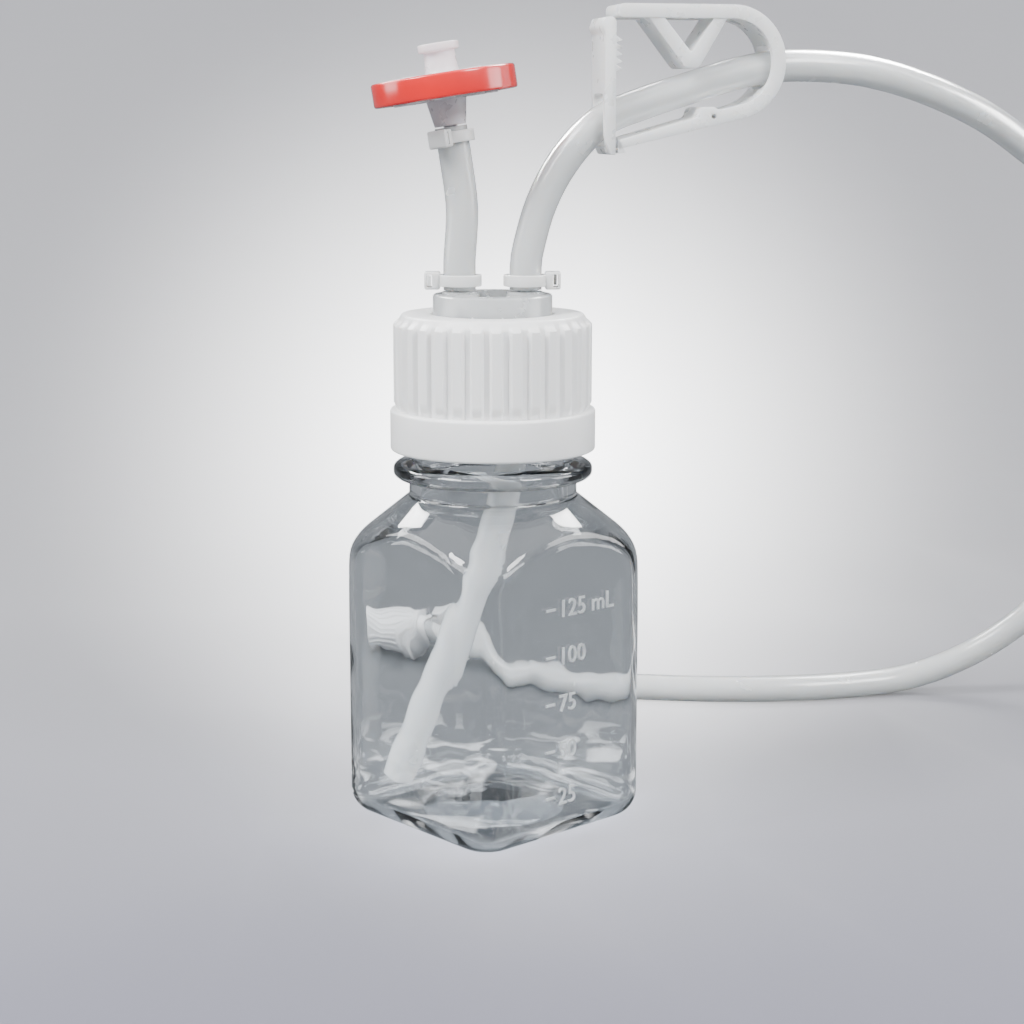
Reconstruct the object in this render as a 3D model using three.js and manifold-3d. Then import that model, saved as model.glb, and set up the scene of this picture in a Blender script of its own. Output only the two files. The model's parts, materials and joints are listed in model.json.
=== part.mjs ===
// Laboratory transfer bottle: a clear square bottle under an open-top screw cap. The cap holds a
// two-port insert, with a filtered vent on one port and a dip tube, a pinch clamp and a capped
// coupling on the other. Millimetres, +Z up, origin on the ground under the bottle's centre.
import * as THREE from "three";
import { mergeVertices } from "three/addons/utils/BufferGeometryUtils.js";
import Module from "manifold-3d";

const wasm = await Module();
wasm.setup();

// ---------------------------------------------------------------- driving dimensions

const FIT_GAP = 0.3; // left between pieces that touch on the real object
const TUBE_SIDES = 10;

// Square bottle, upwards from the ground.
const bottle = {
  width: 51,
  cornerRadius: 9,
  footRadius: 5.5,
  wall: 1.2,
  floor: 1.6,
  pushUp: 1.2,
  bodyHeight: 57,
  shoulderRise: 16.5,
  collarHeight: 3.8,
  shoulderSlope: 0.8,
};
// Neck with its support bead and outside thread.
const neck = {
  radius: 17.5,
  wall: 2,
  collarStep: 1, // the collar under the bead stands out from the neck by this
  beadStep: 4.4,
  beadHeight: 3.4,
};
const thread = { pitch: 4.233, turns: 1.25, neckBead: 1.2, capBead: 0.95, belowLip: 10.5 };
// Open-top screw cap.
const cap = {
  height: 29.7,
  abovePlug: 2.8, // ground of the skirt above the support bead
  bandHeight: 9,
  bandWall: 1.9,
  bandRelief: 1.55, // the band's bore is wider than the thread's by this
  gripWall: 1.65,
  ribHeight: 0.8,
  ribWidth: 2.5,
  ribs: 32,
  topThickness: 1.8,
  topChamfer: 1.7,
  topInset: 0.9,
  holeClearance: 0.4,
};
// Silicone tubing, the same for all three tubes.
const tubing = { radius: 3.5, bore: 2 };
// Two-port insert and the seal under it.
const insert = {
  drumInset: 4.5, // the drum is this much smaller than the neck
  drumAboveCap: 4.2,
  flangeOverhang: 0.4,
  flangeThickness: 1.9,
  plugLength: 4,
  plugWall: 1.8,
  portOffset: 7.15,
  portBossStep: 0.4, // wider than the tube by this
  portBossHeight: 0.5,
  stemSlack: 0.5, // between a stem and the tube over it
  stemWall: 0.6,
  stemLength: 6.2,
  pocketWidth: 6.2,
  pocketLength: 17,
  pocketDepth: 2.6,
};
const gasket = { thickness: 1.5, overhang: 0.3 };
const portLine = THREE.MathUtils.degToRad(48.5); // direction of the line through both ports
// Dip tube, from its stem to the bottle's corner.
const dip = { cornerClearance: 9.8, endLift: 4.9, sidestep: 5 };
// Vent tube and the disc filter on top of it.
const vent = { rise: 34.8, lean: 1.75, bow: 0.6, tilt: THREE.MathUtils.degToRad(8.8) };
const filter = {
  radius: 15.5,
  thickness: 5.1,
  ringWall: 1.6,
  hubRadius: 4.4,
  hubLength: 5.8,
  stemLength: 5,
  luerRadius: 3.55,
  luerBore: 2.1,
  luerLength: 6.5,
  luerRim: 4.4,
  luerRimHeight: 1.6,
  membrane: 0.3,
};
// Cable ties.
const tie = {
  strapWidth: 2.5,
  strapThickness: 1,
  headWidth: 4.4,
  headDepth: 3.4,
  headHeight: 3.8,
  slot: 1.1,
};
// Ratchet pinch clamp, drawn in its own plane: x along it, y up from its lowest edge.
const clamp = {
  place: new THREE.Vector3(21.3, 34.6, 147.9),
  heading: THREE.MathUtils.degToRad(60.5),
  width: 11.4,
  bendX: 10.7,
  bendY: 18.7,
  bendRadius: 12.1,
  band: 2.9,
  lowerSlope: THREE.MathUtils.degToRad(15.2),
  leftEnd: -14.9,
  armEnd: -14.6,
  webDepth: 1.7,
  webWidth: 6,
  hinge: THREE.MathUtils.degToRad(50),
  tubeClearance: 1.2,
  postThickness: 2.4,
  postTop: 28,
  teeth: 5,
  toothPitch: 1.5,
  toothDepth: 1.4,
  teethFrom: 16.7,
};
// Coupling on the tube's far end, with the plug cap that closes it. It lies on the ground.
const coupling = {
  place: new THREE.Vector3(-116.8, 74.9, 7),
  heading: THREE.MathUtils.degToRad(-164.1),
  flangeRadius: 7,
  flangeThickness: 1.6,
  collarRadius: 5,
  collarLength: 5,
  stemLength: 9,
  nipple: 4,
  nippleLength: 11,
  ringGroove: 0.9,
  capRadius: 6.4,
  capLength: 16.5,
  capWall: 1.6,
};
// The free tube's centre line, from the transfer port to the coupling.
const transferRoute = [
  [4.7, 5.4, 118.3],
  [4.7, 5.4, 121.5],
  [4.8, 5.5, 124.8],
  [5.3, 6.4, 129.5],
  [6.2, 8.2, 136.0],
  [7.8, 11.0, 142.6],
  [10.1, 15.3, 149.2],
  [13.2, 20.4, 154.5],
  [17.6, 28.1, 158.0],
  [22.1, 36.0, 160.9],
  [28.0, 46.4, 164.4],
  [32.3, 53.9, 165.9],
  [35.0, 59.8, 166.2],
  [40.8, 73.2, 165.3],
  [46.2, 88.3, 161.7],
  [50.7, 105.4, 155.5],
  [53.2, 118.8, 148.7],
  [56.3, 131.4, 140.5],
  [58.0, 143.8, 129.5],
  [58.9, 154.0, 115.8],
  [57.9, 161.8, 100.4],
  [54.7, 167.3, 83.2],
  [49.7, 170.7, 65.4],
  [43.0, 172.2, 48.3],
  [35.4, 171.2, 33.7],
  [27.1, 167.8, 22.5],
  [18.0, 162.0, 13.6],
  [9.7, 154.2, 7.6],
  [3.0, 145.9, 4.5],
  [-2.8, 136.3, 3.6],
  [-11.3, 120.7, 3.6],
  [-24.8, 103.9, 3.6],
  [-36.6, 92.9, 3.6],
  [-49.7, 82.9, 3.6],
  [-62.5, 78.0, 3.6],
  [-76.5, 77.8, 3.6],
  [-89.1, 79.3, 4.3],
  [-100.2, 79.6, 6.4],
  [-106.9, 77.7, 7.0],
  [-111.7, 76.4, 7.0],
];
const transferSteps = 68;

// ---------------------------------------------------------------- heights that follow from them

const neckBase = bottle.bodyHeight + bottle.shoulderRise;
const beadBottom = neckBase + bottle.collarHeight;
const beadTop = beadBottom + neck.beadHeight;
const capBottom = beadTop + cap.abovePlug;
const capTop = capBottom + cap.height;
const flangeTop = capTop - cap.topThickness - FIT_GAP;
const flangeBottom = flangeTop - insert.flangeThickness;
const gasketTop = flangeBottom - FIT_GAP;
const lip = gasketTop - gasket.thickness - FIT_GAP;
const drumTop = capTop + insert.drumAboveCap;
const bossTop = drumTop + insert.portBossHeight;
const tubeStart = bossTop + FIT_GAP;

// ---------------------------------------------------------------- radii that follow from them

const neckBore = neck.radius - neck.wall;
const collarRadius = neck.radius + neck.collarStep;
const beadRadius = neck.radius + neck.beadStep;
const capBore = neck.radius + thread.neckBead + FIT_GAP + 0.05;
const gripRadius = capBore + cap.gripWall;
const capTopRadius = gripRadius - cap.topInset;
const bandBore = capBore + cap.bandRelief;
const bandRadius = bandBore + cap.bandWall;
const drumRadius = neck.radius - insert.drumInset;
const flangeRadius = neck.radius + insert.flangeOverhang;
const plugRadius = neckBore - FIT_GAP - 0.2;
const stemRadius = tubing.bore - insert.stemSlack;
const stemBore = stemRadius - insert.stemWall;
const clampHole = 2 * tubing.radius + clamp.tubeClearance;

// ---------------------------------------------------------------- finishes

const finish = (name, color, roughness, metalness = 0, opacity = 1) =>
  new THREE.MeshStandardMaterial({
    name,
    color,
    roughness,
    metalness,
    opacity,
    transparent: opacity < 1,
  });
const clearCopolyester = finish("clear copolyester", 0xb9c4cc, 0.08, 0, 0.35);
const whitePlastic = finish("white polypropylene", 0xf2f3f4, 0.42);
const naturalPlastic = finish("natural polypropylene", 0xc9cccd, 0.35, 0, 0.8);
const silicone = finish("milky silicone", 0xdfe3e4, 0.38, 0, 0.75);
const sealRubber = finish("seal rubber", 0xd8d8d4, 0.6);
const whiteNylon = finish("white nylon", 0xeceded, 0.4);
const redPlastic = finish("red overmould", 0xe0202a, 0.35);
const filterCloth = finish("filter membrane", 0xf6f6f2, 0.9);

// ---------------------------------------------------------------- solids

/** A closed geometry as a solid that can be joined and cut. */
function solidFrom(geometry) {
  const bare = geometry.clone();
  bare.deleteAttribute("normal");
  bare.deleteAttribute("uv");
  const merged = mergeVertices(bare, 1e-4);
  const made = new wasm.Manifold(
    new wasm.Mesh({
      numProp: 3,
      vertProperties: merged.attributes.position.array,
      triVerts: new Uint32Array(merged.index.array),
    }),
  );
  if (made.volume() >= 0) return made;
  throw new Error("a solid is inside out");
}

/** A solid's surface as a geometry, flat shaded. */
function geometryFrom(solid) {
  const mesh = solid.getMesh();
  const geometry = new THREE.BufferGeometry();
  geometry.setAttribute("position", new THREE.BufferAttribute(mesh.vertProperties, 3));
  geometry.setIndex(new THREE.BufferAttribute(mesh.triVerts, 1));
  const flat = geometry.toNonIndexed();
  flat.computeVertexNormals();
  return flat;
}

const join = (...geometries) =>
  geometryFrom(geometries.map(solidFrom).reduce((whole, next) => whole.add(next)));
const cut = (geometry, ...tools) =>
  geometryFrom(tools.map(solidFrom).reduce((left, tool) => left.subtract(tool), solidFrom(geometry)));

/** A full turn of a closed outline of [radius, height] about Z, faces outwards. */
function revolve(outline, segments = 40) {
  const area = outline.reduce((sum, [r, z], i) => {
    const [nextR, nextZ] = outline[(i + 1) % outline.length];
    return sum + r * nextZ - nextR * z;
  }, 0);
  const points = area > 0 ? outline : [...outline].reverse();
  const lathe = new THREE.LatheGeometry(
    points.map(([r, z]) => new THREE.Vector2(r, z)),
    segments,
  );
  return lathe.rotateX(Math.PI / 2);
}

/** A ring or tube section about Z: [inner, outer] radius from one height to another. */
const ring = (inner, outer, from, to, segments = 40) =>
  revolve(
    [
      [inner, from],
      [outer, from],
      [outer, to],
      [inner, to],
      [inner, from],
    ],
    segments,
  );

/** A solid disc about Z from one height to another. */
const disc = (radius, from, to, segments = 40) =>
  revolve(
    [
      [0, from],
      [radius, from],
      [radius, to],
      [0, to],
    ],
    segments,
  );

const box = (sizeX, sizeY, sizeZ, x, y, z) =>
  new THREE.BoxGeometry(sizeX, sizeY, sizeZ).translate(x, y, z);

/** A round section for a sweep, hollow when a bore is given. */
function roundSection(radius, bore, sides) {
  const circle = (r) =>
    Array.from({ length: sides }, (_, i) => {
      const angle = ((i + 0.5) / sides) * 2 * Math.PI;
      return new THREE.Vector2(r * Math.cos(angle), r * Math.sin(angle));
    });
  const shape = new THREE.Shape(circle(radius));
  if (bore) shape.holes.push(new THREE.Path(circle(bore)));
  return shape;
}

/** A tube or rod along a curve. */
function sweep(curve, radius, bore, steps, sides = TUBE_SIDES) {
  curve.arcLengthDivisions = 1000;
  return new THREE.ExtrudeGeometry(roundSection(radius, bore, sides), {
    steps,
    extrudePath: curve,
    bevelEnabled: false,
  });
}

/** A flat outline in the XY plane given thickness, centred on Z = 0. */
const plate = (shape, thickness, curveSegments = 10) =>
  new THREE.ExtrudeGeometry(shape, {
    depth: thickness,
    bevelEnabled: false,
    curveSegments,
  }).translate(0, 0, -thickness / 2);

/** A screw thread's centre line about Z. */
class Helix extends THREE.Curve {
  constructor(radius, pitch, turns, base) {
    super();
    Object.assign(this, { radius, pitch, turns, base });
  }
  getPoint(t, target = new THREE.Vector3()) {
    const angle = t * this.turns * 2 * Math.PI;
    return target.set(
      this.radius * Math.cos(angle),
      this.radius * Math.sin(angle),
      this.base + (this.pitch * angle) / (2 * Math.PI),
    );
  }
}

// ---------------------------------------------------------------- the parts

const assembly = new THREE.Group();
assembly.name = "transfer_bottle";

function addPart(parent, name, geometry, material) {
  const mesh = new THREE.Mesh(geometry, material);
  mesh.name = name;
  parent.add(mesh);
  return mesh;
}

/** Distance from a rounded square's centre to its outline, in the direction of an angle. */
function squareReach(half, corner, angle) {
  const turn = ((angle % (Math.PI / 2)) + Math.PI / 2) % (Math.PI / 2);
  const a = Math.min(turn, Math.PI / 2 - turn);
  const flat = half - corner;
  const straight = half / Math.cos(a);
  if (straight * Math.sin(a) <= flat) return straight;
  const along = flat * (Math.cos(a) + Math.sin(a));
  return along + Math.sqrt(Math.max(along * along - 2 * flat * flat + corner * corner, 0));
}

/**
 * A round bottle pressed between four flat sides. Each row is [radius, height, half, corner]:
 * a row with a half width is also held inside that rounded square.
 */
function pressedShell(rows, segments) {
  const lathe = new THREE.LatheGeometry(
    rows.map(([r, z]) => new THREE.Vector2(r, z)),
    segments,
  );
  const place = lathe.attributes.position;
  const softness = 0.5;
  for (let i = 0; i < place.count; i += 1) {
    const [radius, height, half, corner] = rows[i % rows.length];
    const angle = Math.atan2(place.getX(i), place.getZ(i));
    let reach = radius;
    if (half) {
      const side = squareReach(half, corner, angle);
      const gap = Math.abs(radius - side) / softness;
      reach = Math.min(radius, side) - softness * Math.log1p(Math.exp(-gap));
    }
    place.setXYZ(i, reach * Math.sin(angle), height, reach * Math.cos(angle));
  }
  return lathe.rotateX(Math.PI / 2);
}

/** Rows of the bottle's wall, set in from the outside by an inset, from the foot to the neck. */
function wallRows(inset) {
  const half = bottle.width / 2 - inset;
  const corner = bottle.cornerRadius - inset;
  const foot = bottle.footRadius - inset;
  const ground = inset > 0 ? bottle.floor : 0;
  const open = bottle.width; // wider than any corner, so the square alone shapes the row
  const rows = [];
  const footSteps = 4;
  for (let i = 0; i <= footSteps; i += 1) {
    const t = (i / footSteps) * (Math.PI / 2);
    const drawIn = foot * (1 - Math.sin(t));
    rows.push([open, ground + foot * (1 - Math.cos(t)), half - drawIn, Math.max(corner - drawIn, 2)]);
  }
  // The shoulder is round: a steep roll at the corners, then a cone up to the neck.
  const cornerReach = squareReach(half, corner, Math.PI / 4);
  const collar = inset > 0 ? neckBore : collarRadius;
  const rollEnd = neckBase - (cornerReach - 1.7 - collar) * bottle.shoulderSlope;
  rows.push([cornerReach + 1.5, bottle.bodyHeight - 3, half, corner]);
  rows.push([cornerReach + 0.6, bottle.bodyHeight, half, corner]);
  rows.push([cornerReach - 0.2, (bottle.bodyHeight + rollEnd) / 2, half, corner]);
  const coneSteps = 6;
  for (let i = 0; i <= coneSteps; i += 1) {
    const t = i / coneSteps;
    const radius = THREE.MathUtils.lerp(cornerReach - 1.7, collar + 0.9, t);
    rows.push([radius, THREE.MathUtils.lerp(rollEnd, neckBase - 0.9, t), half, corner]);
  }
  rows.push([collar, neckBase + 0.6]);
  return rows;
}

function makeBottle() {
  const ringInner = bottle.width / 2 - bottle.footRadius - 4.5;
  const beadMiddle = (beadBottom + beadTop) / 2;
  const beadHalf = neck.beadHeight / 2;
  const outside = [
    [0, bottle.pushUp],
    [ringInner - 2.5, bottle.pushUp * 0.8],
    [ringInner, 0],
    ...wallRows(0),
    [collarRadius, beadBottom],
    [beadRadius - beadHalf * 0.8, beadMiddle - beadHalf * 0.9],
    [beadRadius, beadMiddle],
    [beadRadius - beadHalf * 0.8, beadMiddle + beadHalf * 0.9],
    [neck.radius, beadTop],
    [neck.radius, lip - 0.5],
    [neck.radius - 0.5, lip],
  ];
  const inside = [
    [0, bottle.pushUp + bottle.floor],
    [ringInner - 2.5, bottle.pushUp + bottle.floor],
    [ringInner + 0.5, bottle.floor],
    ...wallRows(bottle.wall),
    [neckBore, lip],
  ];
  const shell = pressedShell([...outside, ...inside.reverse()], 48);
  const threadLine = new Helix(
    neck.radius,
    thread.pitch,
    thread.turns,
    lip - thread.belowLip,
  );
  return join(shell, sweep(threadLine, thread.neckBead, 0, 36, 8));
}

function makeCap() {
  const bandTop = capBottom + cap.bandHeight;
  const ribTop = capTop - cap.topChamfer;
  const hole = drumRadius + cap.holeClearance;
  const shell = revolve(
    [
      [bandBore, capBottom],
      [bandRadius, capBottom],
      [bandRadius, bandTop - 0.6],
      [bandRadius - 0.6, bandTop],
      [gripRadius, bandTop],
      [gripRadius, ribTop],
      [capTopRadius, capTop],
      [hole, capTop],
      [hole, capTop - cap.topThickness],
      [capBore, capTop - cap.topThickness],
      [capBore, bandTop - 1.5],
      [bandBore, bandTop - 3],
      [bandBore, capBottom],
    ],
    48,
  );
  const middle = (bandTop + ribTop) / 2;
  const ribs = Array.from({ length: cap.ribs }, (_, i) =>
    box(2 * cap.ribHeight, cap.ribWidth, ribTop - bandTop + 0.4, gripRadius, 0, middle).rotateZ(
      ((i + 0.5) / cap.ribs) * 2 * Math.PI,
    ),
  );
  const threadLine = new Helix(
    capBore,
    thread.pitch,
    thread.turns,
    lip - thread.belowLip - thread.pitch / 2,
  );
  return join(shell, ...ribs, sweep(threadLine, thread.capBead, 0, 36, 8));
}

const portAt = (side) => side * insert.portOffset;

function makeInsert() {
  const drumBase = flangeTop;
  const bossBase = drumTop - 0.5;
  const stemTop = bossTop + insert.stemLength;
  const lowerStemEnd = flangeBottom - insert.plugLength - insert.stemLength;
  const body = join(
    revolve([
      [0, flangeBottom],
      [flangeRadius, flangeBottom],
      [flangeRadius, drumBase],
      [drumRadius, drumBase],
      [drumRadius, drumTop - 0.8],
      [drumRadius - 0.8, drumTop],
      [0, drumTop],
    ]),
    ring(plugRadius - insert.plugWall, plugRadius, flangeBottom - insert.plugLength, flangeBottom + 0.5),
    ...[-1, 1].flatMap((side) => [
      disc(tubing.radius + insert.portBossStep, bossBase, bossTop, 20).translate(portAt(side), 0, 0),
      disc(stemRadius, bossBase, stemTop, 12).translate(portAt(side), 0, 0),
      disc(stemRadius, lowerStemEnd, flangeBottom + 0.5, 12).translate(portAt(side), 0, 0),
    ]),
  );
  const bores = [-1, 1].map((side) =>
    disc(stemBore, lowerStemEnd - 1, stemTop + 1, 8).translate(portAt(side), 0, 0),
  );
  const pocket = box(
    insert.pocketWidth,
    insert.pocketLength,
    insert.pocketDepth * 2,
    0,
    0,
    drumTop,
  );
  return cut(body, pocket, ...bores);
}

const makeGasket = () =>
  ring(
    plugRadius + FIT_GAP,
    neck.radius + gasket.overhang,
    gasketTop - gasket.thickness,
    gasketTop,
  );

/** The dip tube's centre line: down from its stem, then across to the bottle's corner. */
function dipCurve() {
  const start = flangeBottom - insert.plugLength - FIT_GAP;
  const inner = bottle.width / 2 - bottle.wall;
  const cornerReach = squareReach(inner, bottle.cornerRadius - bottle.wall, portLine);
  const end = new THREE.Vector3(
    -(cornerReach - dip.cornerClearance),
    dip.sidestep,
    bottle.floor + dip.endLift,
  );
  const from = new THREE.Vector3(portAt(1), 0, start);
  const drop = (start - end.z) / 3;
  return new THREE.CubicBezierCurve3(
    from,
    new THREE.Vector3(portAt(1) - 0.3, 0, start - drop),
    new THREE.Vector3(end.x + drop * 0.4, dip.sidestep * 0.7, end.z + drop + 2),
    end,
  );
}

const filterAxis = new THREE.Vector3(-Math.sin(vent.tilt), 0, Math.cos(vent.tilt));
const ventTop = new THREE.Vector3(portAt(-1) - vent.lean, 0, tubeStart + vent.rise);

/** The vent tube's centre line: straight over both stems, bowing a little between them. */
function ventCurve() {
  const points = [
    new THREE.Vector3(portAt(-1), 0, tubeStart),
    new THREE.Vector3(portAt(-1), 0, tubeStart + insert.stemLength / 2),
    new THREE.Vector3(portAt(-1), 0, tubeStart + insert.stemLength),
    new THREE.Vector3(portAt(-1) + vent.bow, 0, tubeStart + vent.rise * 0.5),
    ventTop.clone().addScaledVector(filterAxis, -filter.stemLength - 1),
    ventTop.clone().addScaledVector(filterAxis, -filter.stemLength / 2),
    ventTop,
  ];
  return new THREE.CatmullRomCurve3(points, false, "centripetal");
}

/** A cable tie round a tube on Z, centred on Z = 0, its head towards +X. */
function makeTie() {
  const inner = tubing.radius + FIT_GAP;
  const outer = inner + tie.strapThickness;
  const half = tie.strapWidth / 2;
  const head = box(
    tie.headDepth,
    tie.headWidth,
    tie.headHeight,
    outer + tie.headDepth / 2 - 0.6,
    0,
    0,
  );
  const slot = box(tie.slot, tie.headWidth + 1, tie.strapWidth + 0.2, outer + tie.headDepth / 2, 0, 0);
  return cut(join(ring(inner, outer, -half, half, 24), head), slot);
}

function addFilter(parent) {
  const group = new THREE.Group();
  group.position.copy(ventTop);
  group.rotation.y = -vent.tilt;
  parent.add(group);
  const base = filter.hubLength + FIT_GAP; // under face of the disc above the tube's end
  const top = base + filter.thickness;
  const middle = (base + top) / 2;
  const shellRadius = filter.radius - filter.ringWall - FIT_GAP;
  const lip = 0.6; // the rim's lips, flush with the two faces
  const lipInner = shellRadius - 1.4;
  const edgeRadius = lipInner - FIT_GAP;
  const edgeBase = base + lip + FIT_GAP;
  const edgeTop = top - lip - FIT_GAP;
  const lowerShell = revolve([
    [0, -filter.stemLength],
    [stemRadius, -filter.stemLength],
    [stemRadius, FIT_GAP],
    [tubing.radius, FIT_GAP],
    [filter.hubRadius, base - 1.5],
    [filter.hubRadius, base],
    [edgeRadius, base],
    [edgeRadius, edgeBase],
    [shellRadius, edgeBase],
    [shellRadius, middle - filter.membrane / 2 - FIT_GAP],
    [0, middle - filter.membrane / 2 - FIT_GAP],
  ]);
  const lowerBore = disc(stemBore, -filter.stemLength - 1, top, 8);
  addPart(group, "filter_outlet_shell", cut(lowerShell, lowerBore), naturalPlastic);
  const membrane = disc(
    shellRadius - 0.6,
    middle - filter.membrane / 2,
    middle + filter.membrane / 2,
    32,
  );
  addPart(group, "filter_membrane", membrane, filterCloth);
  const rimBase = top + filter.luerLength - filter.luerRimHeight;
  const upperShell = revolve([
    [0, middle + filter.membrane / 2 + FIT_GAP],
    [shellRadius, middle + filter.membrane / 2 + FIT_GAP],
    [shellRadius, edgeTop],
    [edgeRadius, edgeTop],
    [edgeRadius, top],
    [filter.luerRadius, top],
    [filter.luerRadius, rimBase],
    [filter.luerRim, rimBase + 0.5],
    [filter.luerRim, top + filter.luerLength],
    [0, top + filter.luerLength],
  ]);
  const socket = disc(filter.luerBore, middle + 1.6, top + filter.luerLength + 1, 16);
  const upperBore = disc(stemBore, middle - 1, top, 8);
  addPart(group, "filter_inlet_shell", cut(upperShell, socket, upperBore), naturalPlastic);
  const band = revolve([
    [shellRadius + FIT_GAP, base + lip],
    [lipInner, base + lip],
    [lipInner, base],
    [filter.radius - 0.4, base],
    [filter.radius, base + 0.4],
    [filter.radius, top - 0.4],
    [filter.radius - 0.4, top],
    [lipInner, top],
    [lipInner, top - lip],
    [shellRadius + FIT_GAP, top - lip],
    [shellRadius + FIT_GAP, base + lip],
  ]);
  addPart(group, "filter_ring", band, redPlastic);
  return group;
}

// ---------------------------------------------------------------- the pinch clamp

const bendPoint = (radius, angle) => [
  clamp.bendX + radius * Math.cos(angle),
  clamp.bendY + radius * Math.sin(angle),
];

/** Height of a line along the lower arm's slope that is tangent to the bend at a radius. */
function lowerEdge(radius, x) {
  const [tangentX, tangentY] = bendPoint(radius, clamp.lowerSlope - Math.PI / 2);
  return tangentY + (x - tangentX) * Math.tan(clamp.lowerSlope);
}

/** The lower arm, its anvil and the bend up to the living hinge. */
function makeClampBase() {
  const innerRadius = clamp.bendRadius - clamp.band;
  const from = clamp.lowerSlope - Math.PI / 2;
  const shape = new THREE.Shape();
  shape.moveTo(clamp.leftEnd, lowerEdge(clamp.bendRadius, clamp.leftEnd));
  shape.lineTo(...bendPoint(clamp.bendRadius, from));
  shape.absarc(clamp.bendX, clamp.bendY, clamp.bendRadius, from, clamp.hinge, false);
  shape.lineTo(...bendPoint(innerRadius, clamp.hinge));
  shape.absarc(clamp.bendX, clamp.bendY, innerRadius, clamp.hinge, from, true);
  const anvil = { left: 3.7, right: 7.7, top: 9.3 };
  shape.lineTo(anvil.right + 2.5, lowerEdge(innerRadius, anvil.right + 2.5));
  shape.lineTo(anvil.right, anvil.top - 0.6);
  shape.lineTo(anvil.right - 0.9, anvil.top);
  shape.lineTo(anvil.left + 0.9, anvil.top);
  shape.lineTo(anvil.left, anvil.top - 0.6);
  shape.lineTo(anvil.left - 0.6, lowerEdge(innerRadius, anvil.left - 0.6));
  shape.lineTo(clamp.leftEnd, lowerEdge(innerRadius, clamp.leftEnd));
  shape.closePath();
  const eye = new THREE.Path();
  eye.absarc(6.7, 7.3, 0.55, 0, 2 * Math.PI, true);
  shape.holes.push(eye);
  const wayX = clamp.bendX + clamp.bendRadius;
  const tubeWay = box(12, clampHole + 1, clampHole, wayX, clamp.bendY - 0.9, 0);
  return cut(plate(shape, clamp.width), tubeWay);
}

/** The upper arm with its pinching V, from the living hinge to its free end. */
function makeClampArm() {
  const innerRadius = clamp.bendRadius - clamp.band;
  const outerTop = clamp.bendY + clamp.bendRadius;
  const innerTop = clamp.bendY + innerRadius;
  const hinge = clamp.hinge + FIT_GAP / innerRadius;
  const shape = new THREE.Shape();
  shape.moveTo(...bendPoint(clamp.bendRadius, hinge));
  shape.absarc(clamp.bendX, clamp.bendY, clamp.bendRadius, hinge, Math.PI / 2, false);
  shape.lineTo(clamp.armEnd, outerTop);
  shape.lineTo(clamp.armEnd, innerTop);
  const vTop = innerTop + 0.6;
  const vTip = 17.5;
  shape.lineTo(-8, innerTop);
  shape.lineTo(-0.3, vTip + 0.8);
  shape.lineTo(0.4, vTip);
  shape.lineTo(2.8, vTip);
  shape.lineTo(3.6, vTip + 0.8);
  shape.lineTo(9.2, innerTop);
  shape.absarc(clamp.bendX, clamp.bendY, innerRadius, Math.PI / 2, hinge, true);
  shape.closePath();
  const opening = new THREE.Path([
    new THREE.Vector2(-4.4, vTop),
    new THREE.Vector2(1.5, vTip + 3.5),
    new THREE.Vector2(6.2, vTop),
  ]);
  shape.holes.push(opening);
  const web = box(
    20,
    clamp.webDepth,
    clamp.webWidth,
    clamp.armEnd + 11,
    innerTop - clamp.webDepth / 2 + 0.4,
    0,
  );
  return join(plate(shape, clamp.width), web);
}

/** The toothed post that catches the arm's free end. The tube passes through its foot. */
function makeClampPost() {
  const right = clamp.leftEnd - FIT_GAP;
  const left = right - clamp.postThickness;
  const foot = lowerEdge(clamp.bendRadius, clamp.leftEnd);
  const shape = new THREE.Shape();
  shape.moveTo(right, foot);
  for (let i = 0; i < clamp.teeth; i += 1) {
    const base = clamp.teethFrom + i * clamp.toothPitch;
    shape.lineTo(right, base);
    shape.lineTo(right + clamp.toothDepth, base + 0.5);
    shape.lineTo(right, base + clamp.toothPitch - 0.1);
  }
  shape.lineTo(right, clamp.postTop - 0.8);
  shape.lineTo(right - 0.8, clamp.postTop);
  shape.lineTo(left, clamp.postTop);
  shape.lineTo(left - 0.7, clamp.postTop - 2);
  shape.lineTo(left, clamp.postTop - 3.6);
  shape.lineTo(left, foot + 2.5);
  shape.lineTo(left + 1.2, foot + 0.3);
  shape.closePath();
  const tubeWay = box(8, clampHole + 3, clampHole, left, 6.5, 0);
  return cut(plate(shape, clamp.width), tubeWay);
}

function addClamp(parent) {
  const group = new THREE.Group();
  group.position.copy(clamp.place);
  group.rotation.set(Math.PI / 2, 0, clamp.heading, "ZYX");
  parent.add(group);
  addPart(group, "clamp_base", makeClampBase(), naturalPlastic);
  addPart(group, "clamp_arm", makeClampArm(), naturalPlastic);
  addPart(group, "clamp_post", makeClampPost(), naturalPlastic);
  return group;
}

// ---------------------------------------------------------------- the end coupling

/** Turns a piece made about Z so that its +Z lies along the coupling's +X. */
const alongX = (geometry) => geometry.rotateY(Math.PI / 2);

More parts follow.
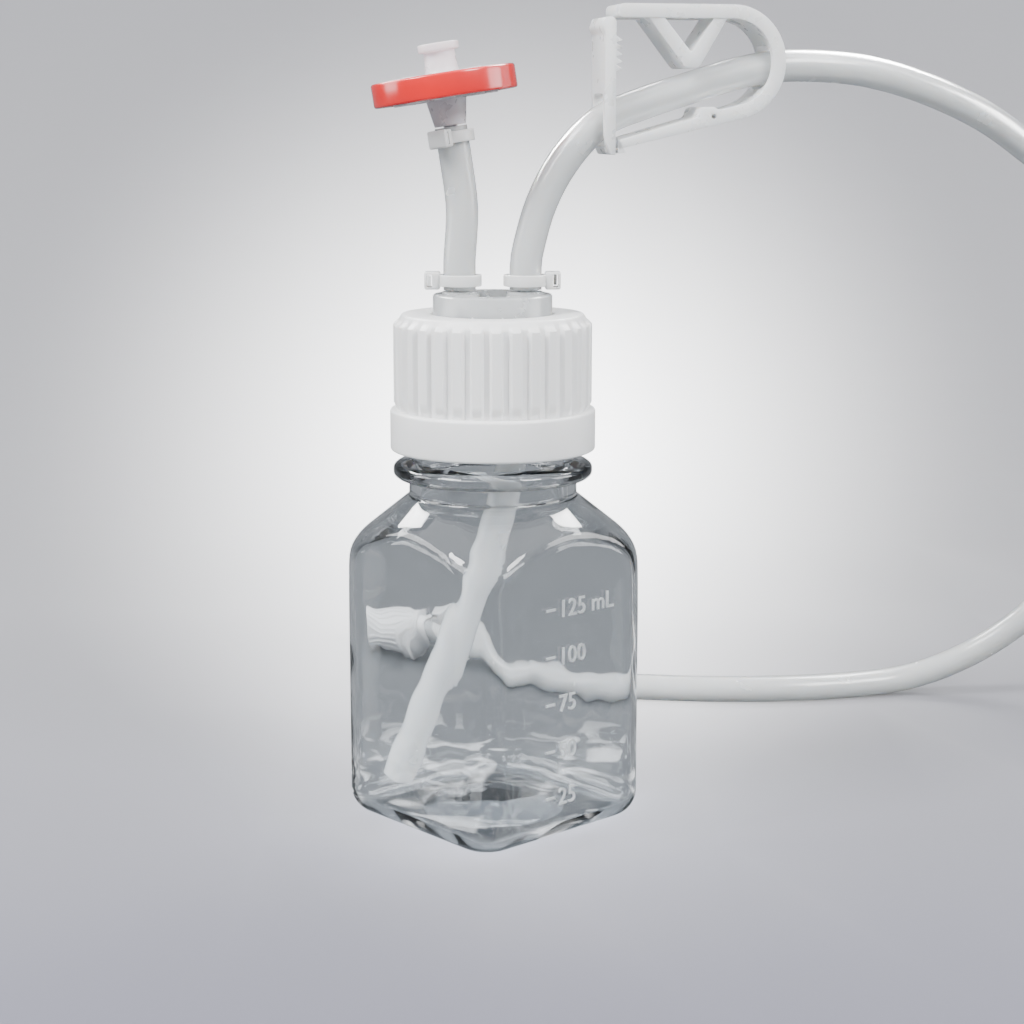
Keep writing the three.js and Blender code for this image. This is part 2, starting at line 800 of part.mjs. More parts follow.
function addCoupling(parent) {
  const group = new THREE.Group();
  group.position.copy(coupling.place);
  group.rotation.z = coupling.heading;
  parent.add(group);
  const tubeEnd = -coupling.collarLength - FIT_GAP;
  const capBase = coupling.flangeThickness + FIT_GAP;
  const grooveAt = capBase + coupling.nippleLength - 3;
  const body = revolve([
    [0, tubeEnd - coupling.stemLength],
    [stemRadius, tubeEnd - coupling.stemLength],
    [stemRadius, -coupling.collarLength],
    [coupling.collarRadius, -coupling.collarLength],
    [coupling.collarRadius, 0],
    [coupling.flangeRadius, 0],
    [coupling.flangeRadius, coupling.flangeThickness],
    [coupling.nipple, coupling.flangeThickness],
    [coupling.nipple, grooveAt],
    [coupling.nipple - coupling.ringGroove, grooveAt],
    [coupling.nipple - coupling.ringGroove, grooveAt + 1.8],
    [coupling.nipple, grooveAt + 1.8],
    [coupling.nipple, capBase + coupling.nippleLength],
    [0, capBase + coupling.nippleLength],
  ]);
  const bore = disc(stemBore, tubeEnd - 20, capBase + coupling.nippleLength + 1, 8);
  addPart(group, "coupling_body", alongX(cut(body, bore)), whitePlastic);
  const sealInner = coupling.nipple - coupling.ringGroove + FIT_GAP / 2;
  const seal = revolve([
    [sealInner, grooveAt + 0.3],
    [coupling.nipple + 0.35, grooveAt + 0.3],
    [coupling.nipple + 0.35, grooveAt + 1.5],
    [sealInner, grooveAt + 1.5],
    [sealInner, grooveAt + 0.3],
  ]);
  addPart(group, "coupling_seal", alongX(seal), sealRubber);
  const capEnd = capBase + coupling.capLength;
  const capInner = coupling.nipple + 0.35 + FIT_GAP;
  const plug = revolve([
    [capInner, capBase],
    [coupling.flangeRadius, capBase],
    [coupling.flangeRadius, capBase + 1.4],
    [coupling.capRadius, capBase + 1.8],
    [coupling.capRadius, capEnd - 0.8],
    [coupling.capRadius - 0.8, capEnd],
    [0, capEnd],
    [0, capEnd - coupling.capWall],
    [capInner, capEnd - coupling.capWall],
    [capInner, capBase],
  ]);
  addPart(group, "coupling_cap", alongX(plug), whitePlastic);
  const strap = makeTie().rotateZ(Math.PI).translate(0, 0, tubeEnd - 4.5);
  addPart(group, "tie_coupling", alongX(strap), whiteNylon);
  return group;
}

// ---------------------------------------------------------------- the assembly

addPart(assembly, "bottle", makeBottle(), clearCopolyester);
addPart(assembly, "screw_cap", makeCap(), whitePlastic);

const closure = new THREE.Group(); // X through both ports, the transfer port on +X
closure.rotation.z = portLine;
assembly.add(closure);
addPart(closure, "port_insert", makeInsert(), naturalPlastic);
addPart(closure, "neck_gasket", makeGasket(), sealRubber);
addPart(closure, "dip_tube", sweep(dipCurve(), tubing.radius, tubing.bore, 18), silicone);
addPart(closure, "vent_tube", sweep(ventCurve(), tubing.radius, tubing.bore, 8), silicone);
const tieHeight = tubeStart + 2.1;
const ventTie = addPart(closure, "tie_vent_port", makeTie().rotateZ(Math.PI), whiteNylon);
ventTie.position.set(portAt(-1), 0, tieHeight);
const transferTie = addPart(closure, "tie_transfer_port", makeTie(), whiteNylon);
transferTie.position.set(portAt(1), 0, tieHeight);
const filterGroup = addFilter(closure);
const filterTie = makeTie().rotateZ(THREE.MathUtils.degToRad(-115)).translate(0, 0, -2.2);
addPart(filterGroup, "tie_filter", filterTie, whiteNylon);

const route = transferRoute.map((point) => new THREE.Vector3(...point));
const transferLine = new THREE.CatmullRomCurve3(route, false, "centripetal");
const transferTube = sweep(transferLine, tubing.radius, tubing.bore, transferSteps);
addPart(assembly, "transfer_tube", transferTube, silicone);
addClamp(assembly);
addCoupling(assembly);

export default assembly;
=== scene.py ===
"""Looks of a laboratory transfer bottle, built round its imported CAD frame.

A clear square bottle stands under an open-top screw cap. The cap holds a two-port insert: a disc
vent filter on one port, and on the other a dip tube, a long transfer tube, a pinch clamp and a
capped coupling. Sizes are in millimetres and become metres when a piece is finished.
"""

from __future__ import annotations

import json
import logging
import math
from dataclasses import dataclass
from enum import Enum
from typing import Callable, Iterable, Sequence

import bmesh
import bpy
from mathutils import Matrix, Vector
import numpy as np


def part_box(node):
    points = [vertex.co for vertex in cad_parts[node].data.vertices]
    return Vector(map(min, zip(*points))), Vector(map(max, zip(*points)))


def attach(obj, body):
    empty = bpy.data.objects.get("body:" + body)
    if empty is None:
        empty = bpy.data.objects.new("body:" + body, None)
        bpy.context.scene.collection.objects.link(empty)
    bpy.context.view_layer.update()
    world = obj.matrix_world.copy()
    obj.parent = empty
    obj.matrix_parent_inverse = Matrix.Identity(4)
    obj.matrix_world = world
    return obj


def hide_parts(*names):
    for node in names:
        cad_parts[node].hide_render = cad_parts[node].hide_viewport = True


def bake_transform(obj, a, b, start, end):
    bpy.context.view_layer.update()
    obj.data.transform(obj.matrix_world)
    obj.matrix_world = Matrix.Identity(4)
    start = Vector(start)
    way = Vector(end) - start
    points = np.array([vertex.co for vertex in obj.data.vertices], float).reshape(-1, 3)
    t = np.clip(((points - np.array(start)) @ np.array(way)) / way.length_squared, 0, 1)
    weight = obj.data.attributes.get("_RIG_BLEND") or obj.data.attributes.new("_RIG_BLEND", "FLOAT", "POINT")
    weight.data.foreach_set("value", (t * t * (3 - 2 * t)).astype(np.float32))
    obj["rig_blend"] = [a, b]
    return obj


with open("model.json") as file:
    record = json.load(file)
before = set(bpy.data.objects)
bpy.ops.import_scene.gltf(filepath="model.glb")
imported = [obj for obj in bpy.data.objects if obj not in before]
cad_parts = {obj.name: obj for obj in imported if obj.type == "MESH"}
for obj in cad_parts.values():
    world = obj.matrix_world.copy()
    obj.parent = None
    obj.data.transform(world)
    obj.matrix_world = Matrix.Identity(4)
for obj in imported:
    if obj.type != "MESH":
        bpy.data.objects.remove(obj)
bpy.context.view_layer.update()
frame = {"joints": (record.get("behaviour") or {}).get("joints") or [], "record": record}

LOG = logging.getLogger("transfer_bottle")
MM = 0.001
TO_METRES = Matrix.Scale(MM, 4)
PORT_LINE = math.radians(48.5)
PORT_OFFSET = 7.15
CLOSURE = Matrix.Rotation(PORT_LINE, 4, "Z")
TUBE_RADIUS = 3.5
TUBE_BORE = 2.0
SHARP = math.radians(32)
SORTING_WAY = Vector((0.8147, 0.5358, 0.2217))
THREAD_STEPS = 90
THREAD_SIDES = 12
THREAD_RUN_OUT = 0.04
THREAD_TIP = 0.25

Profile = list[tuple[float, float]]


class Body(Enum):
    """The moving bodies that pieces ride on."""

    BOTTLE = "bottle"
    CLOSURE = "closure"
    CAP = "cap"
    PINCH_ARM = "pinch_arm"
    LATCH_POST = "latch_post"
    PLUG_CAP = "plug_cap"


class Side(Enum):
    """The two ports, as a sign along the port line."""

    VENT = -1
    TRANSFER = 1


# ---------------------------------------------------------------- node helpers


def noise_pattern(tree: bpy.types.NodeTree, place: bpy.types.NodeSocket, scale: float,
                  detail: float = 3.0, distortion: float = 0.0) -> bpy.types.NodeSocket:
    """A noise pattern over a piece.

    Args:
        tree: The material's nodes.
        place: Object coordinates.
        scale: Pattern repeats per metre.
        detail: Octaves of finer pattern.
        distortion: How strongly the pattern is bent.

    Returns:
        The pattern's value, about 0.5 on average.
    """
    noise = tree.nodes.new("ShaderNodeTexNoise")
    noise.inputs["Scale"].default_value = scale
    noise.inputs["Detail"].default_value = detail
    noise.inputs["Distortion"].default_value = distortion
    tree.links.new(place, noise.inputs["Vector"])
    return noise.outputs["Fac"]


def spread_out(tree: bpy.types.NodeTree, value: bpy.types.NodeSocket, source: tuple[float, float],
               target: tuple[float, float]) -> bpy.types.NodeSocket:
    """Spreads a value from one range to another and holds it there.

    Args:
        tree: The material's nodes.
        value: The value.
        source: The range it comes in.
        target: The range it goes out in.

    Returns:
        The spread value.
    """
    spread = tree.nodes.new("ShaderNodeMapRange")
    for name, end in zip(("From Min", "From Max", "To Min", "To Max"), (*source, *target)):
        spread.inputs[name].default_value = end
    tree.links.new(value, spread.inputs["Value"])
    return spread.outputs["Result"]


def maths(tree: bpy.types.NodeTree, how: str,
          *values: bpy.types.NodeSocket | float) -> bpy.types.NodeSocket:
    """A sum or product of sockets and plain numbers.

    Args:
        tree: The material's nodes.
        how: The operation's name.
        *values: What it works on, in order.

    Returns:
        The result.
    """
    made = tree.nodes.new("ShaderNodeMath")
    made.operation = how
    for place, value in zip(made.inputs, values):
        if isinstance(value, bpy.types.NodeSocket):
            tree.links.new(value, place)
        else:
            place.default_value = value
    return made.outputs[0]


def vertex_value(tree: bpy.types.NodeTree, name: str) -> bpy.types.NodeSocket:
    """A value kept at a piece's vertices.

    Args:
        tree: The material's nodes.
        name: The attribute's name.

    Returns:
        The value.
    """
    kept = tree.nodes.new("ShaderNodeAttribute")
    kept.attribute_name = name
    return kept.outputs["Fac"]


# ---------------------------------------------------------------- finishes


@dataclass(frozen=True)
class Finish:
    """A moulded or extruded plastic, with its own fine surface.

    Colours are linear. Scales are pattern repeats per metre, and depths are in metres.
    """

    slot: str
    colour: tuple[float, float, float]
    roughness: float
    transmission: float = 0.0
    ior: float = 1.5
    subsurface: float = 0.0
    subsurface_reach: float = 0.002
    coat: float = 0.0
    mottle: float = 0.04
    mottle_scale: float = 90.0
    grain_scale: float = 2600.0
    grain_depth: float = 0.00002
    ripple_scale: float = 0.0
    ripple_depth: float = 0.0
    rough_spread: float = 0.06
    variant: str = "moulded"
    lets_light_in: bool = False

    def material(self) -> bpy.types.Material:
        """The finish as a node material, made once.

        Returns:
            The material.
        """
        name = f"{self.variant}_{self.slot}"
        found = bpy.data.materials.get(name)
        if found:
            return found
        made = bpy.data.materials.new(name)
        made.use_nodes = True
        tree = made.node_tree
        shader = tree.nodes["Principled BSDF"]
        shader.inputs["Transmission Weight"].default_value = self.transmission
        shader.inputs["IOR"].default_value = self.ior
        shader.inputs["Subsurface Weight"].default_value = self.subsurface
        shader.inputs["Subsurface Radius"].default_value = (1.0, 0.9, 0.8)
        shader.inputs["Subsurface Scale"].default_value = self.subsurface_reach
        shader.inputs["Coat Weight"].default_value = self.coat
        shader.inputs["Coat Roughness"].default_value = 0.08
        place = tree.nodes.new("ShaderNodeTexCoord").outputs["Object"]
        self._colour(tree, place, shader)
        self._roughness(tree, place, shader)
        self._surface(tree, place, shader)
        if self.lets_light_in:
            self._open_to_lamps(tree, shader)
        return made

    def _open_to_lamps(self, tree: bpy.types.NodeTree, shader: bpy.types.Node) -> None:
        """Lets light from the lamps reach what stands behind a clear wall.

        Args:
            tree: The material's nodes.
            shader: Its surface shader.
        """
        through = tree.nodes.new("ShaderNodeBsdfTransparent")
        through.inputs["Color"].default_value = (*self.colour, 1)
        choice = tree.nodes.new("ShaderNodeMixShader")
        tree.links.new(tree.nodes.new("ShaderNodeLightPath").outputs["Is Shadow Ray"],
                       choice.inputs["Fac"])
        tree.links.new(shader.outputs["BSDF"], choice.inputs[1])
        tree.links.new(through.outputs["BSDF"], choice.inputs[2])
        output = tree.nodes["Material Output"]
        tree.links.new(choice.outputs["Shader"], output.inputs["Surface"])

    def _colour(self, tree: bpy.types.NodeTree, place: bpy.types.NodeSocket,
                shader: bpy.types.Node) -> None:
        """Colours the piece, a little uneven where the finish is mottled.

        Args:
            tree: The material's nodes.
            place: Object coordinates.
            shader: Its surface shader.
        """
        if not self.mottle:
            shader.inputs["Base Color"].default_value = (*self.colour, 1)
            return
        ramp = tree.nodes.new("ShaderNodeValToRGB")
        low, high = 1 - self.mottle, 1 + self.mottle
        ramp.color_ramp.elements[0].position = 0.3
        ramp.color_ramp.elements[1].position = 0.7
        ramp.color_ramp.elements[0].color = (*(min(c * low, 1) for c in self.colour), 1)
        ramp.color_ramp.elements[1].color = (*(min(c * high, 1) for c in self.colour), 1)
        tree.links.new(noise_pattern(tree, place, self.mottle_scale), ramp.inputs["Fac"])
        tree.links.new(ramp.outputs["Color"], shader.inputs["Base Color"])

    def _roughness(self, tree: bpy.types.NodeTree, place: bpy.types.NodeSocket,
                   shader: bpy.types.Node) -> None:
        """Spreads the roughness, as handling and moulding leave it.

        Args:
            tree: The material's nodes.
            place: Object coordinates.
            shader: Its surface shader.
        """
        pattern = noise_pattern(tree, place, self.mottle_scale * 2.3)
        ends = (max(self.roughness - self.rough_spread, 0.0), self.roughness + self.rough_spread)
        tree.links.new(spread_out(tree, pattern, (0.3, 0.7), ends), shader.inputs["Roughness"])

    def _surface(self, tree: bpy.types.NodeTree, place: bpy.types.NodeSocket,
                 shader: bpy.types.Node) -> None:
        """Raises the fine grain, over the slow ripple of a blown wall where there is one.

        Args:
            tree: The material's nodes.
            place: Object coordinates.
            shader: Its surface shader.
        """
        normal = None
        layers = [(self.ripple_scale, self.ripple_depth, 1.0),
                  (self.grain_scale, self.grain_depth, 4.0)]
        for scale, depth, detail in layers:
            if not depth:
                continue
            bump = tree.nodes.new("ShaderNodeBump")
            bump.inputs["Distance"].default_value = depth
            tree.links.new(noise_pattern(tree, place, scale, detail), bump.inputs["Height"])
            if normal:
                tree.links.new(normal, bump.inputs["Normal"])
            normal = bump.outputs["Normal"]
        if normal:
            tree.links.new(normal, shader.inputs["Normal"])


CLEAR = Finish("clear_copolyester", (0.87, 0.885, 0.90), 0.02, transmission=1.0, ior=1.57, mottle=0.0,
               grain_depth=0.0, ripple_scale=60, ripple_depth=0.0011, rough_spread=0.015,
               lets_light_in=True)
MARKS = Finish("clear_copolyester", (0.90, 0.92, 0.93), 0.4, transmission=0.75, ior=1.57, mottle=0.01,
               grain_depth=0.00001, variant="raised")
WHITE = Finish("white_polypropylene", (0.93, 0.93, 0.93), 0.36, subsurface=0.2, mottle=0.01,
               grain_depth=0.00001)
NATURAL = Finish("natural_polypropylene", (0.91, 0.92, 0.925), 0.3, transmission=0.15, subsurface=0.5,
                 mottle=0.01, grain_depth=0.000003)
BLUSHED = Finish("natural_polypropylene", (0.92, 0.84, 0.87), 0.3, transmission=0.2, subsurface=0.5,
                 mottle=0.01, grain_depth=0.000003, variant="blushed")
CLOUDY = Finish("natural_polypropylene", (0.80, 0.82, 0.83), 0.24, transmission=0.55, subsurface=0.15,
                mottle=0.01, grain_depth=0.000003, variant="cloudy")
SILICONE = Finish("milky_silicone", (0.90, 0.915, 0.91), 0.22, transmission=0.46, ior=1.41,
                  subsurface=0.6, subsurface_reach=0.004, mottle=0.01, mottle_scale=60,
                  grain_scale=900, grain_depth=0.0, coat=0.3)
NYLON = Finish("white_nylon", (0.92, 0.92, 0.91), 0.32, transmission=0.25, subsurface=0.3,
               mottle=0.01, grain_depth=0.000004)
RED = Finish("red_overmould", (0.74, 0.012, 0.014), 0.2, subsurface=0.12, coat=0.4, mottle=0.06,
             grain_depth=0.000005)
SEAL = Finish("seal_rubber", (0.72, 0.72, 0.69), 0.6, subsurface=0.05)
MEMBRANE = Finish("filter_membrane", (0.88, 0.88, 0.85), 0.9, mottle=0.06, mottle_scale=900,
                  grain_scale=6000, grain_depth=0.00006)


# ---------------------------------------------------------------- mesh helpers


def rounded(corners: Sequence[tuple[float, ...]], steps: int = 4) -> Profile:
    """An outline with its corners rounded.

    Args:
        corners: Points (x, y) or (x, y, radius), the radius rounding that corner.
        steps: Segments of each rounding.

    Returns:
        The points of the outline, in the same order.
    """
    outline: Profile = []
    count = len(corners)
    for i, corner in enumerate(corners):
        here = Vector(corner[:2])
        radius = corner[2] if len(corner) > 2 else 0.0
        if not radius:
            outline.append((here.x, here.y))
            continue
        back = Vector(corners[i - 1][:2]) - here
        ahead = Vector(corners[(i + 1) % count][:2]) - here
        reach = min(radius, back.length * 0.49, ahead.length * 0.49)
        start = here + back.normalized() * reach
        end = here + ahead.normalized() * reach
        for k in range(steps + 1):
            t = k / steps
            point = start * (1 - t) ** 2 + here * 2 * t * (1 - t) + end * t**2
            outline.append((point.x, point.y))
    return outline


def lathe(profile: Profile, steps: int = 96, closed: bool = True) -> bmesh.types.BMesh:
    """Turns a profile of (radius, height) about Z.

    Args:
        profile: The outline; it starts and ends on the axis, or closes on itself.
        steps: Segments round the turn.
        closed: Whether the outline closes on itself.

    Returns:
        The turned solid, faces outwards.
    """
    bm = bmesh.new()
    verts = [bm.verts.new((r, 0, z)) for r, z in profile]
    pairs = list(zip(verts, verts[1:]))
    if closed:
        pairs.append((verts[-1], verts[0]))
    edges = [bm.edges.new(pair) for pair in pairs]
    bmesh.ops.spin(bm, geom=[*verts, *edges], cent=(0, 0, 0), axis=(0, 0, 1), angle=math.tau,
                   steps=steps, use_merge=True, use_duplicate=False)
    bmesh.ops.remove_doubles(bm, verts=bm.verts, dist=1e-4)
    bmesh.ops.recalc_face_normals(bm, faces=bm.faces)
    return bm


def prism(outline: Profile, low: float, high: float) -> bmesh.types.BMesh:
    """A flat outline in the XY plane given height along Z.

    Args:
        outline: The outline.
        low: Height of its lower face.
        high: Height of its upper face.

    Returns:
        The solid, faces outwards.
    """
    bm = bmesh.new()
    face = bm.faces.new([bm.verts.new((x, y, low)) for x, y in outline])
    grown = bmesh.ops.extrude_face_region(bm, geom=[face])["geom"]
    top = [item for item in grown if isinstance(item, bmesh.types.BMVert)]
    bmesh.ops.translate(bm, verts=top, vec=(0, 0, high - low))
    bmesh.ops.recalc_face_normals(bm, faces=bm.faces)
    return bm


def block(size: Sequence[float], at: Sequence[float]) -> bmesh.types.BMesh:
    """A box.

    Args:
        size: Its three sides.
        at: Its centre.

    Returns:
        The box.
    """
    bm = bmesh.new()
    bmesh.ops.create_cube(bm, size=1, matrix=Matrix.Translation(at) @ Matrix.Diagonal((*size, 1)))
    return bm


def soften(bm: bmesh.types.BMesh, width: float, segments: int = 2) -> bmesh.types.BMesh:
    """Bevels every sharp edge.

    Args:
        bm: The mesh.
        width: How far the bevel reaches from the edge.
        segments: Its steps.

    Returns:
        The same mesh.
    """
    sharp = [e for e in bm.edges if len(e.link_faces) == 2 and e.calc_face_angle() > SHARP]
    bmesh.ops.bevel(bm, geom=sharp, offset=width, segments=segments, profile=0.5, affect="EDGES",
                    clamp_overlap=True, material=-1)
    return bm


def moved(bm: bmesh.types.BMesh, matrix: Matrix) -> bmesh.types.BMesh:
    """Places a mesh by a matrix."""
    bmesh.ops.transform(bm, matrix=matrix, verts=bm.verts)
    return bm


def merged(*parts: bmesh.types.BMesh) -> bmesh.types.BMesh:
    """Several meshes as one, left as they touch.

    Args:
        *parts: The meshes, which are used up.

    Returns:
        The one mesh.
    """
    whole = bmesh.new()
    for part in parts:
        scratch = bpy.data.meshes.new("scratch")
        part.to_mesh(scratch)
        part.free()
        whole.from_mesh(scratch)
        bpy.data.meshes.remove(scratch)
    return whole


def carved(bm: bmesh.types.BMesh, tools: Iterable[bmesh.types.BMesh],
           how: str = "DIFFERENCE") -> bmesh.types.BMesh:
    """Cuts tools out of a mesh, or joins them to it.

    Args:
        bm: The mesh that is worked on.
        tools: The meshes that work on it, one by one.
        how: The boolean's name.

    Returns:
        The worked mesh.
    """
    work = _stage_object("carve_work", bm)
    for tool in tools:
        cutter = _stage_object("carve_tool", tool)
        step = work.modifiers.new("step", "BOOLEAN")
        step.operation = how
        step.solver = "EXACT"
        step.object = cutter
        result = bpy.data.meshes.new_from_object(
            work.evaluated_get(bpy.context.evaluated_depsgraph_get()))
        work.modifiers.remove(step)
        old, work.data = work.data, result
        bpy.data.meshes.remove(old)
        _drop(cutter)
    made = bmesh.new()
    made.from_mesh(work.data)
    _drop(work)
    return made


def _stage_object(name: str, bm: bmesh.types.BMesh) -> bpy.types.Object:
    """A throwaway object holding a mesh, its points and faces put in a fixed order.

    Args:
        name: The object's name.
        bm: The mesh, which is used up.

    Returns:
        The object.
    """
    bm.verts.sort(key=lambda vert: vert.co.dot(SORTING_WAY))
    bm.faces.sort(key=lambda face: face.calc_center_median().dot(SORTING_WAY))
    mesh = bpy.data.meshes.new(name)
    bm.to_mesh(mesh)
    bm.free()
    made = bpy.data.objects.new(name, mesh)
    bpy.context.scene.collection.objects.link(made)
    return made


def _drop(obj: bpy.types.Object) -> None:
    """Deletes a throwaway object and its mesh.

    Args:
        obj: The object.
    """
    mesh = obj.data
    bpy.data.objects.remove(obj)
    bpy.data.meshes.remove(mesh)


def piece(name: str, bm: bmesh.types.BMesh, finish: Finish, body: Body | None,
          replaces: Sequence[str] = (), matrix: Matrix = Matrix.Identity(4)) -> bpy.types.Object:
    """Finishes a mesh as a piece of the object.

    Args:
        name: The piece's name.
        bm: Its mesh, in millimetres.
        finish: Its finish.
        body: The body it rides on, or None for a piece that bends between two.
        replaces: The CAD nodes it stands for.
        matrix: Its place, in millimetres.

    Returns:
        The piece's object.
    """
    moved(bm, TO_METRES @ matrix)
    for face in bm.faces:
        face.smooth = True
    for edge in bm.edges:
        edge.smooth = len(edge.link_faces) != 2 or edge.calc_face_angle() < SHARP
    mesh = bpy.data.meshes.new(name)
    bm.to_mesh(mesh)
    bm.free()
    made = bpy.data.objects.new(name, mesh)
    bpy.context.scene.collection.objects.link(made)
    mesh.materials.append(finish.material())
    if body:
        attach(made, body.value)
    if replaces:
        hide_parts(*replaces)
    LOG.info("%s: %d faces", name, len(mesh.polygons))
    return made


def dress_node(node: str, finish: Finish) -> None:
    """Gives a CAD node its finish.

    Args:
        node: The node's name.
        finish: The finish.
    """
    mesh = bpy.data.objects[node].data
    mesh.materials.clear()
    mesh.materials.append(finish.material())


# ---------------------------------------------------------------- tubes


def through(points: Sequence[Sequence[float]], spacing: float) -> list[Vector]:
    """A smooth curve through points, as even steps.

    Args:
        points: The points, as a centripetal Catmull-Rom curve passes them.
        spacing: Distance between the steps, in the points' own unit.

    Returns:
        The steps along the curve, both ends included.
    """
    knots = [Vector(p) for p in points]
    knots = [2 * knots[0] - knots[1], *knots, 2 * knots[-1] - knots[-2]]
    fine: list[Vector] = [knots[1]]
    for p0, p1, p2, p3 in zip(knots, knots[1:], knots[2:], knots[3:]):
        d0, d1, d2 = (math.sqrt((b - a).length) for a, b in ((p0, p1), (p1, p2), (p2, p3)))
        out = ((p1 - p0) / d0 - (p2 - p0) / (d0 + d1) + (p2 - p1) / d1) * d1
        into = ((p2 - p1) / d1 - (p3 - p1) / (d1 + d2) + (p3 - p2) / d2) * d1
        for k in range(1, 25):
            t = k / 24
            fine.append(p1 * (2 * t**3 - 3 * t**2 + 1) + out * (t**3 - 2 * t**2 + t)
                        + p2 * (3 * t**2 - 2 * t**3) + into * (t**3 - t**2))
    return even_steps(fine, spacing)


def bezier(a: Sequence[float], b: Sequence[float], c: Sequence[float], d: Sequence[float],
           spacing: float) -> list[Vector]:
    """A cubic Bezier curve as even steps.

    Args:
        a: Where it starts.
        b: The point it sets off towards.
        c: The point it arrives from.
        d: Where it ends.
        spacing: Distance between the steps.

    Returns:
        The steps along the curve, both ends included.
    """
    a, b, c, d = (Vector(p) for p in (a, b, c, d))
    fine = [a * (1 - t) ** 3 + b * 3 * t * (1 - t) ** 2 + c * 3 * t**2 * (1 - t) + d * t**3
            for t in (k / 200 for k in range(201))]
    return even_steps(fine, spacing)


def even_steps(fine: list[Vector], spacing: float) -> list[Vector]:
    """Points at even distances along a fine line.

    Args:
        fine: The line's points, close together.
        spacing: About how far apart the new points are.

    Returns:
        The new points, both ends included.
    """
    along = [0.0]
    for a, b in zip(fine, fine[1:]):
        along.append(along[-1] + (b - a).length)
    count = max(round(along[-1] / spacing), 2)
    steps, i = [], 0
    for k in range(count + 1):
        want = along[-1] * k / count
        while i < len(fine) - 2 and along[i + 1] < want:
            i += 1
        share = (want - along[i]) / max(along[i + 1] - along[i], 1e-9)
        steps.append(fine[i].lerp(fine[i + 1], min(share, 1.0)))
    return steps


def carried_frames(path: list[Vector]) -> list[Matrix]:
    """Placements along a path, turned as little as possible from one to the next.

    Args:
        path: The path's points.

    Returns:
        A placement at each point, Z along the path.
    """
    frames = []
    tangents = [(b - a).normalized() for a, b in zip(path, path[1:])]
    tangents = [tangents[0], *((a + b).normalized() for a, b in zip(tangents, tangents[1:])),
                tangents[-1]]
    turn = Vector((0, 0, 1)).rotation_difference(tangents[0])
    for i, (point, tangent) in enumerate(zip(path, tangents)):
        if i:
            turn = tangents[i - 1].rotation_difference(tangent) @ turn
        frames.append(Matrix.Translation(point) @ turn.to_matrix().to_4x4())
    return frames


def hollow_tube(path: list[Vector], outer: float = TUBE_RADIUS, bore: float = TUBE_BORE,
                sides: int = 28, flare: Callable[[float], float] = lambda _: 1.0,
                ) -> bmesh.types.BMesh:
    """A tube with a real wall along a path.

    Args:
        path: Ring centres.
        outer: Outer radius.
        bore: Inner radius, or 0 for a solid rod.
        sides: Sides of each ring.
        flare: Scale of a ring from its share of the way along.

    Returns:
        The tube, closed at both ends.
    """
    bm = bmesh.new()
    frames = carried_frames(path)
    frames = [f @ Matrix.Scale(flare(i / (len(frames) - 1)), 4) for i, f in enumerate(frames)]
    ends = []
    for radius in (outer, bore) if bore else (outer,):
        ring = bmesh.ops.create_circle(bm, cap_ends=False, segments=sides, radius=radius,
                                       matrix=frames[0])["verts"]
        edges = list(dict.fromkeys(edge for vert in ring for edge in vert.link_edges))
        ends.append(edges)
        for before, after in zip(frames, frames[1:]):
            grown = bmesh.ops.extrude_edge_only(bm, edges=edges)["geom"]
            ring = [item for item in grown if isinstance(item, bmesh.types.BMVert)]
            fresh = set(ring)
            edges = [item for item in grown if isinstance(item, bmesh.types.BMEdge)
                     and item.verts[0] in fresh and item.verts[1] in fresh]
            bmesh.ops.transform(bm, matrix=after @ before.inverted(), verts=ring)
        ends.append(edges)
    for end in (0, 1):
        if bore:
            bmesh.ops.bridge_loops(bm, edges=ends[end] + ends[end + 2])
        else:
            bmesh.ops.edgeloop_fill(bm, edges=ends[end])
    bmesh.ops.recalc_face_normals(bm, faces=bm.faces)
    return bm


def thread_fade(share: float) -> float:
    """How full a thread stands, from its share of the way along."""
    return max(min(share, 1 - share, THREAD_RUN_OUT) / THREAD_RUN_OUT, THREAD_TIP)


def thread_ridge(radius: float, start: float, pitch: float, turns: float,
                 section: float) -> bmesh.types.BMesh:
    """A helical thread round Z, faded in and out at its ends.

    Args:
        radius: Radius of the helix.
        start: Height that it starts from.
        pitch: Rise of one turn.
        turns: How many turns it makes.
        section: Radius of the ridge itself.

    Returns:
        The ridge, solid.
    """
    angles = [turns * math.tau * k / THREAD_STEPS for k in range(THREAD_STEPS + 1)]
    path = [Vector((radius * math.cos(a), radius * math.sin(a), start + pitch * a / math.tau))
            for a in angles]
    return hollow_tube(path, section, 0.0, THREAD_SIDES, thread_fade)


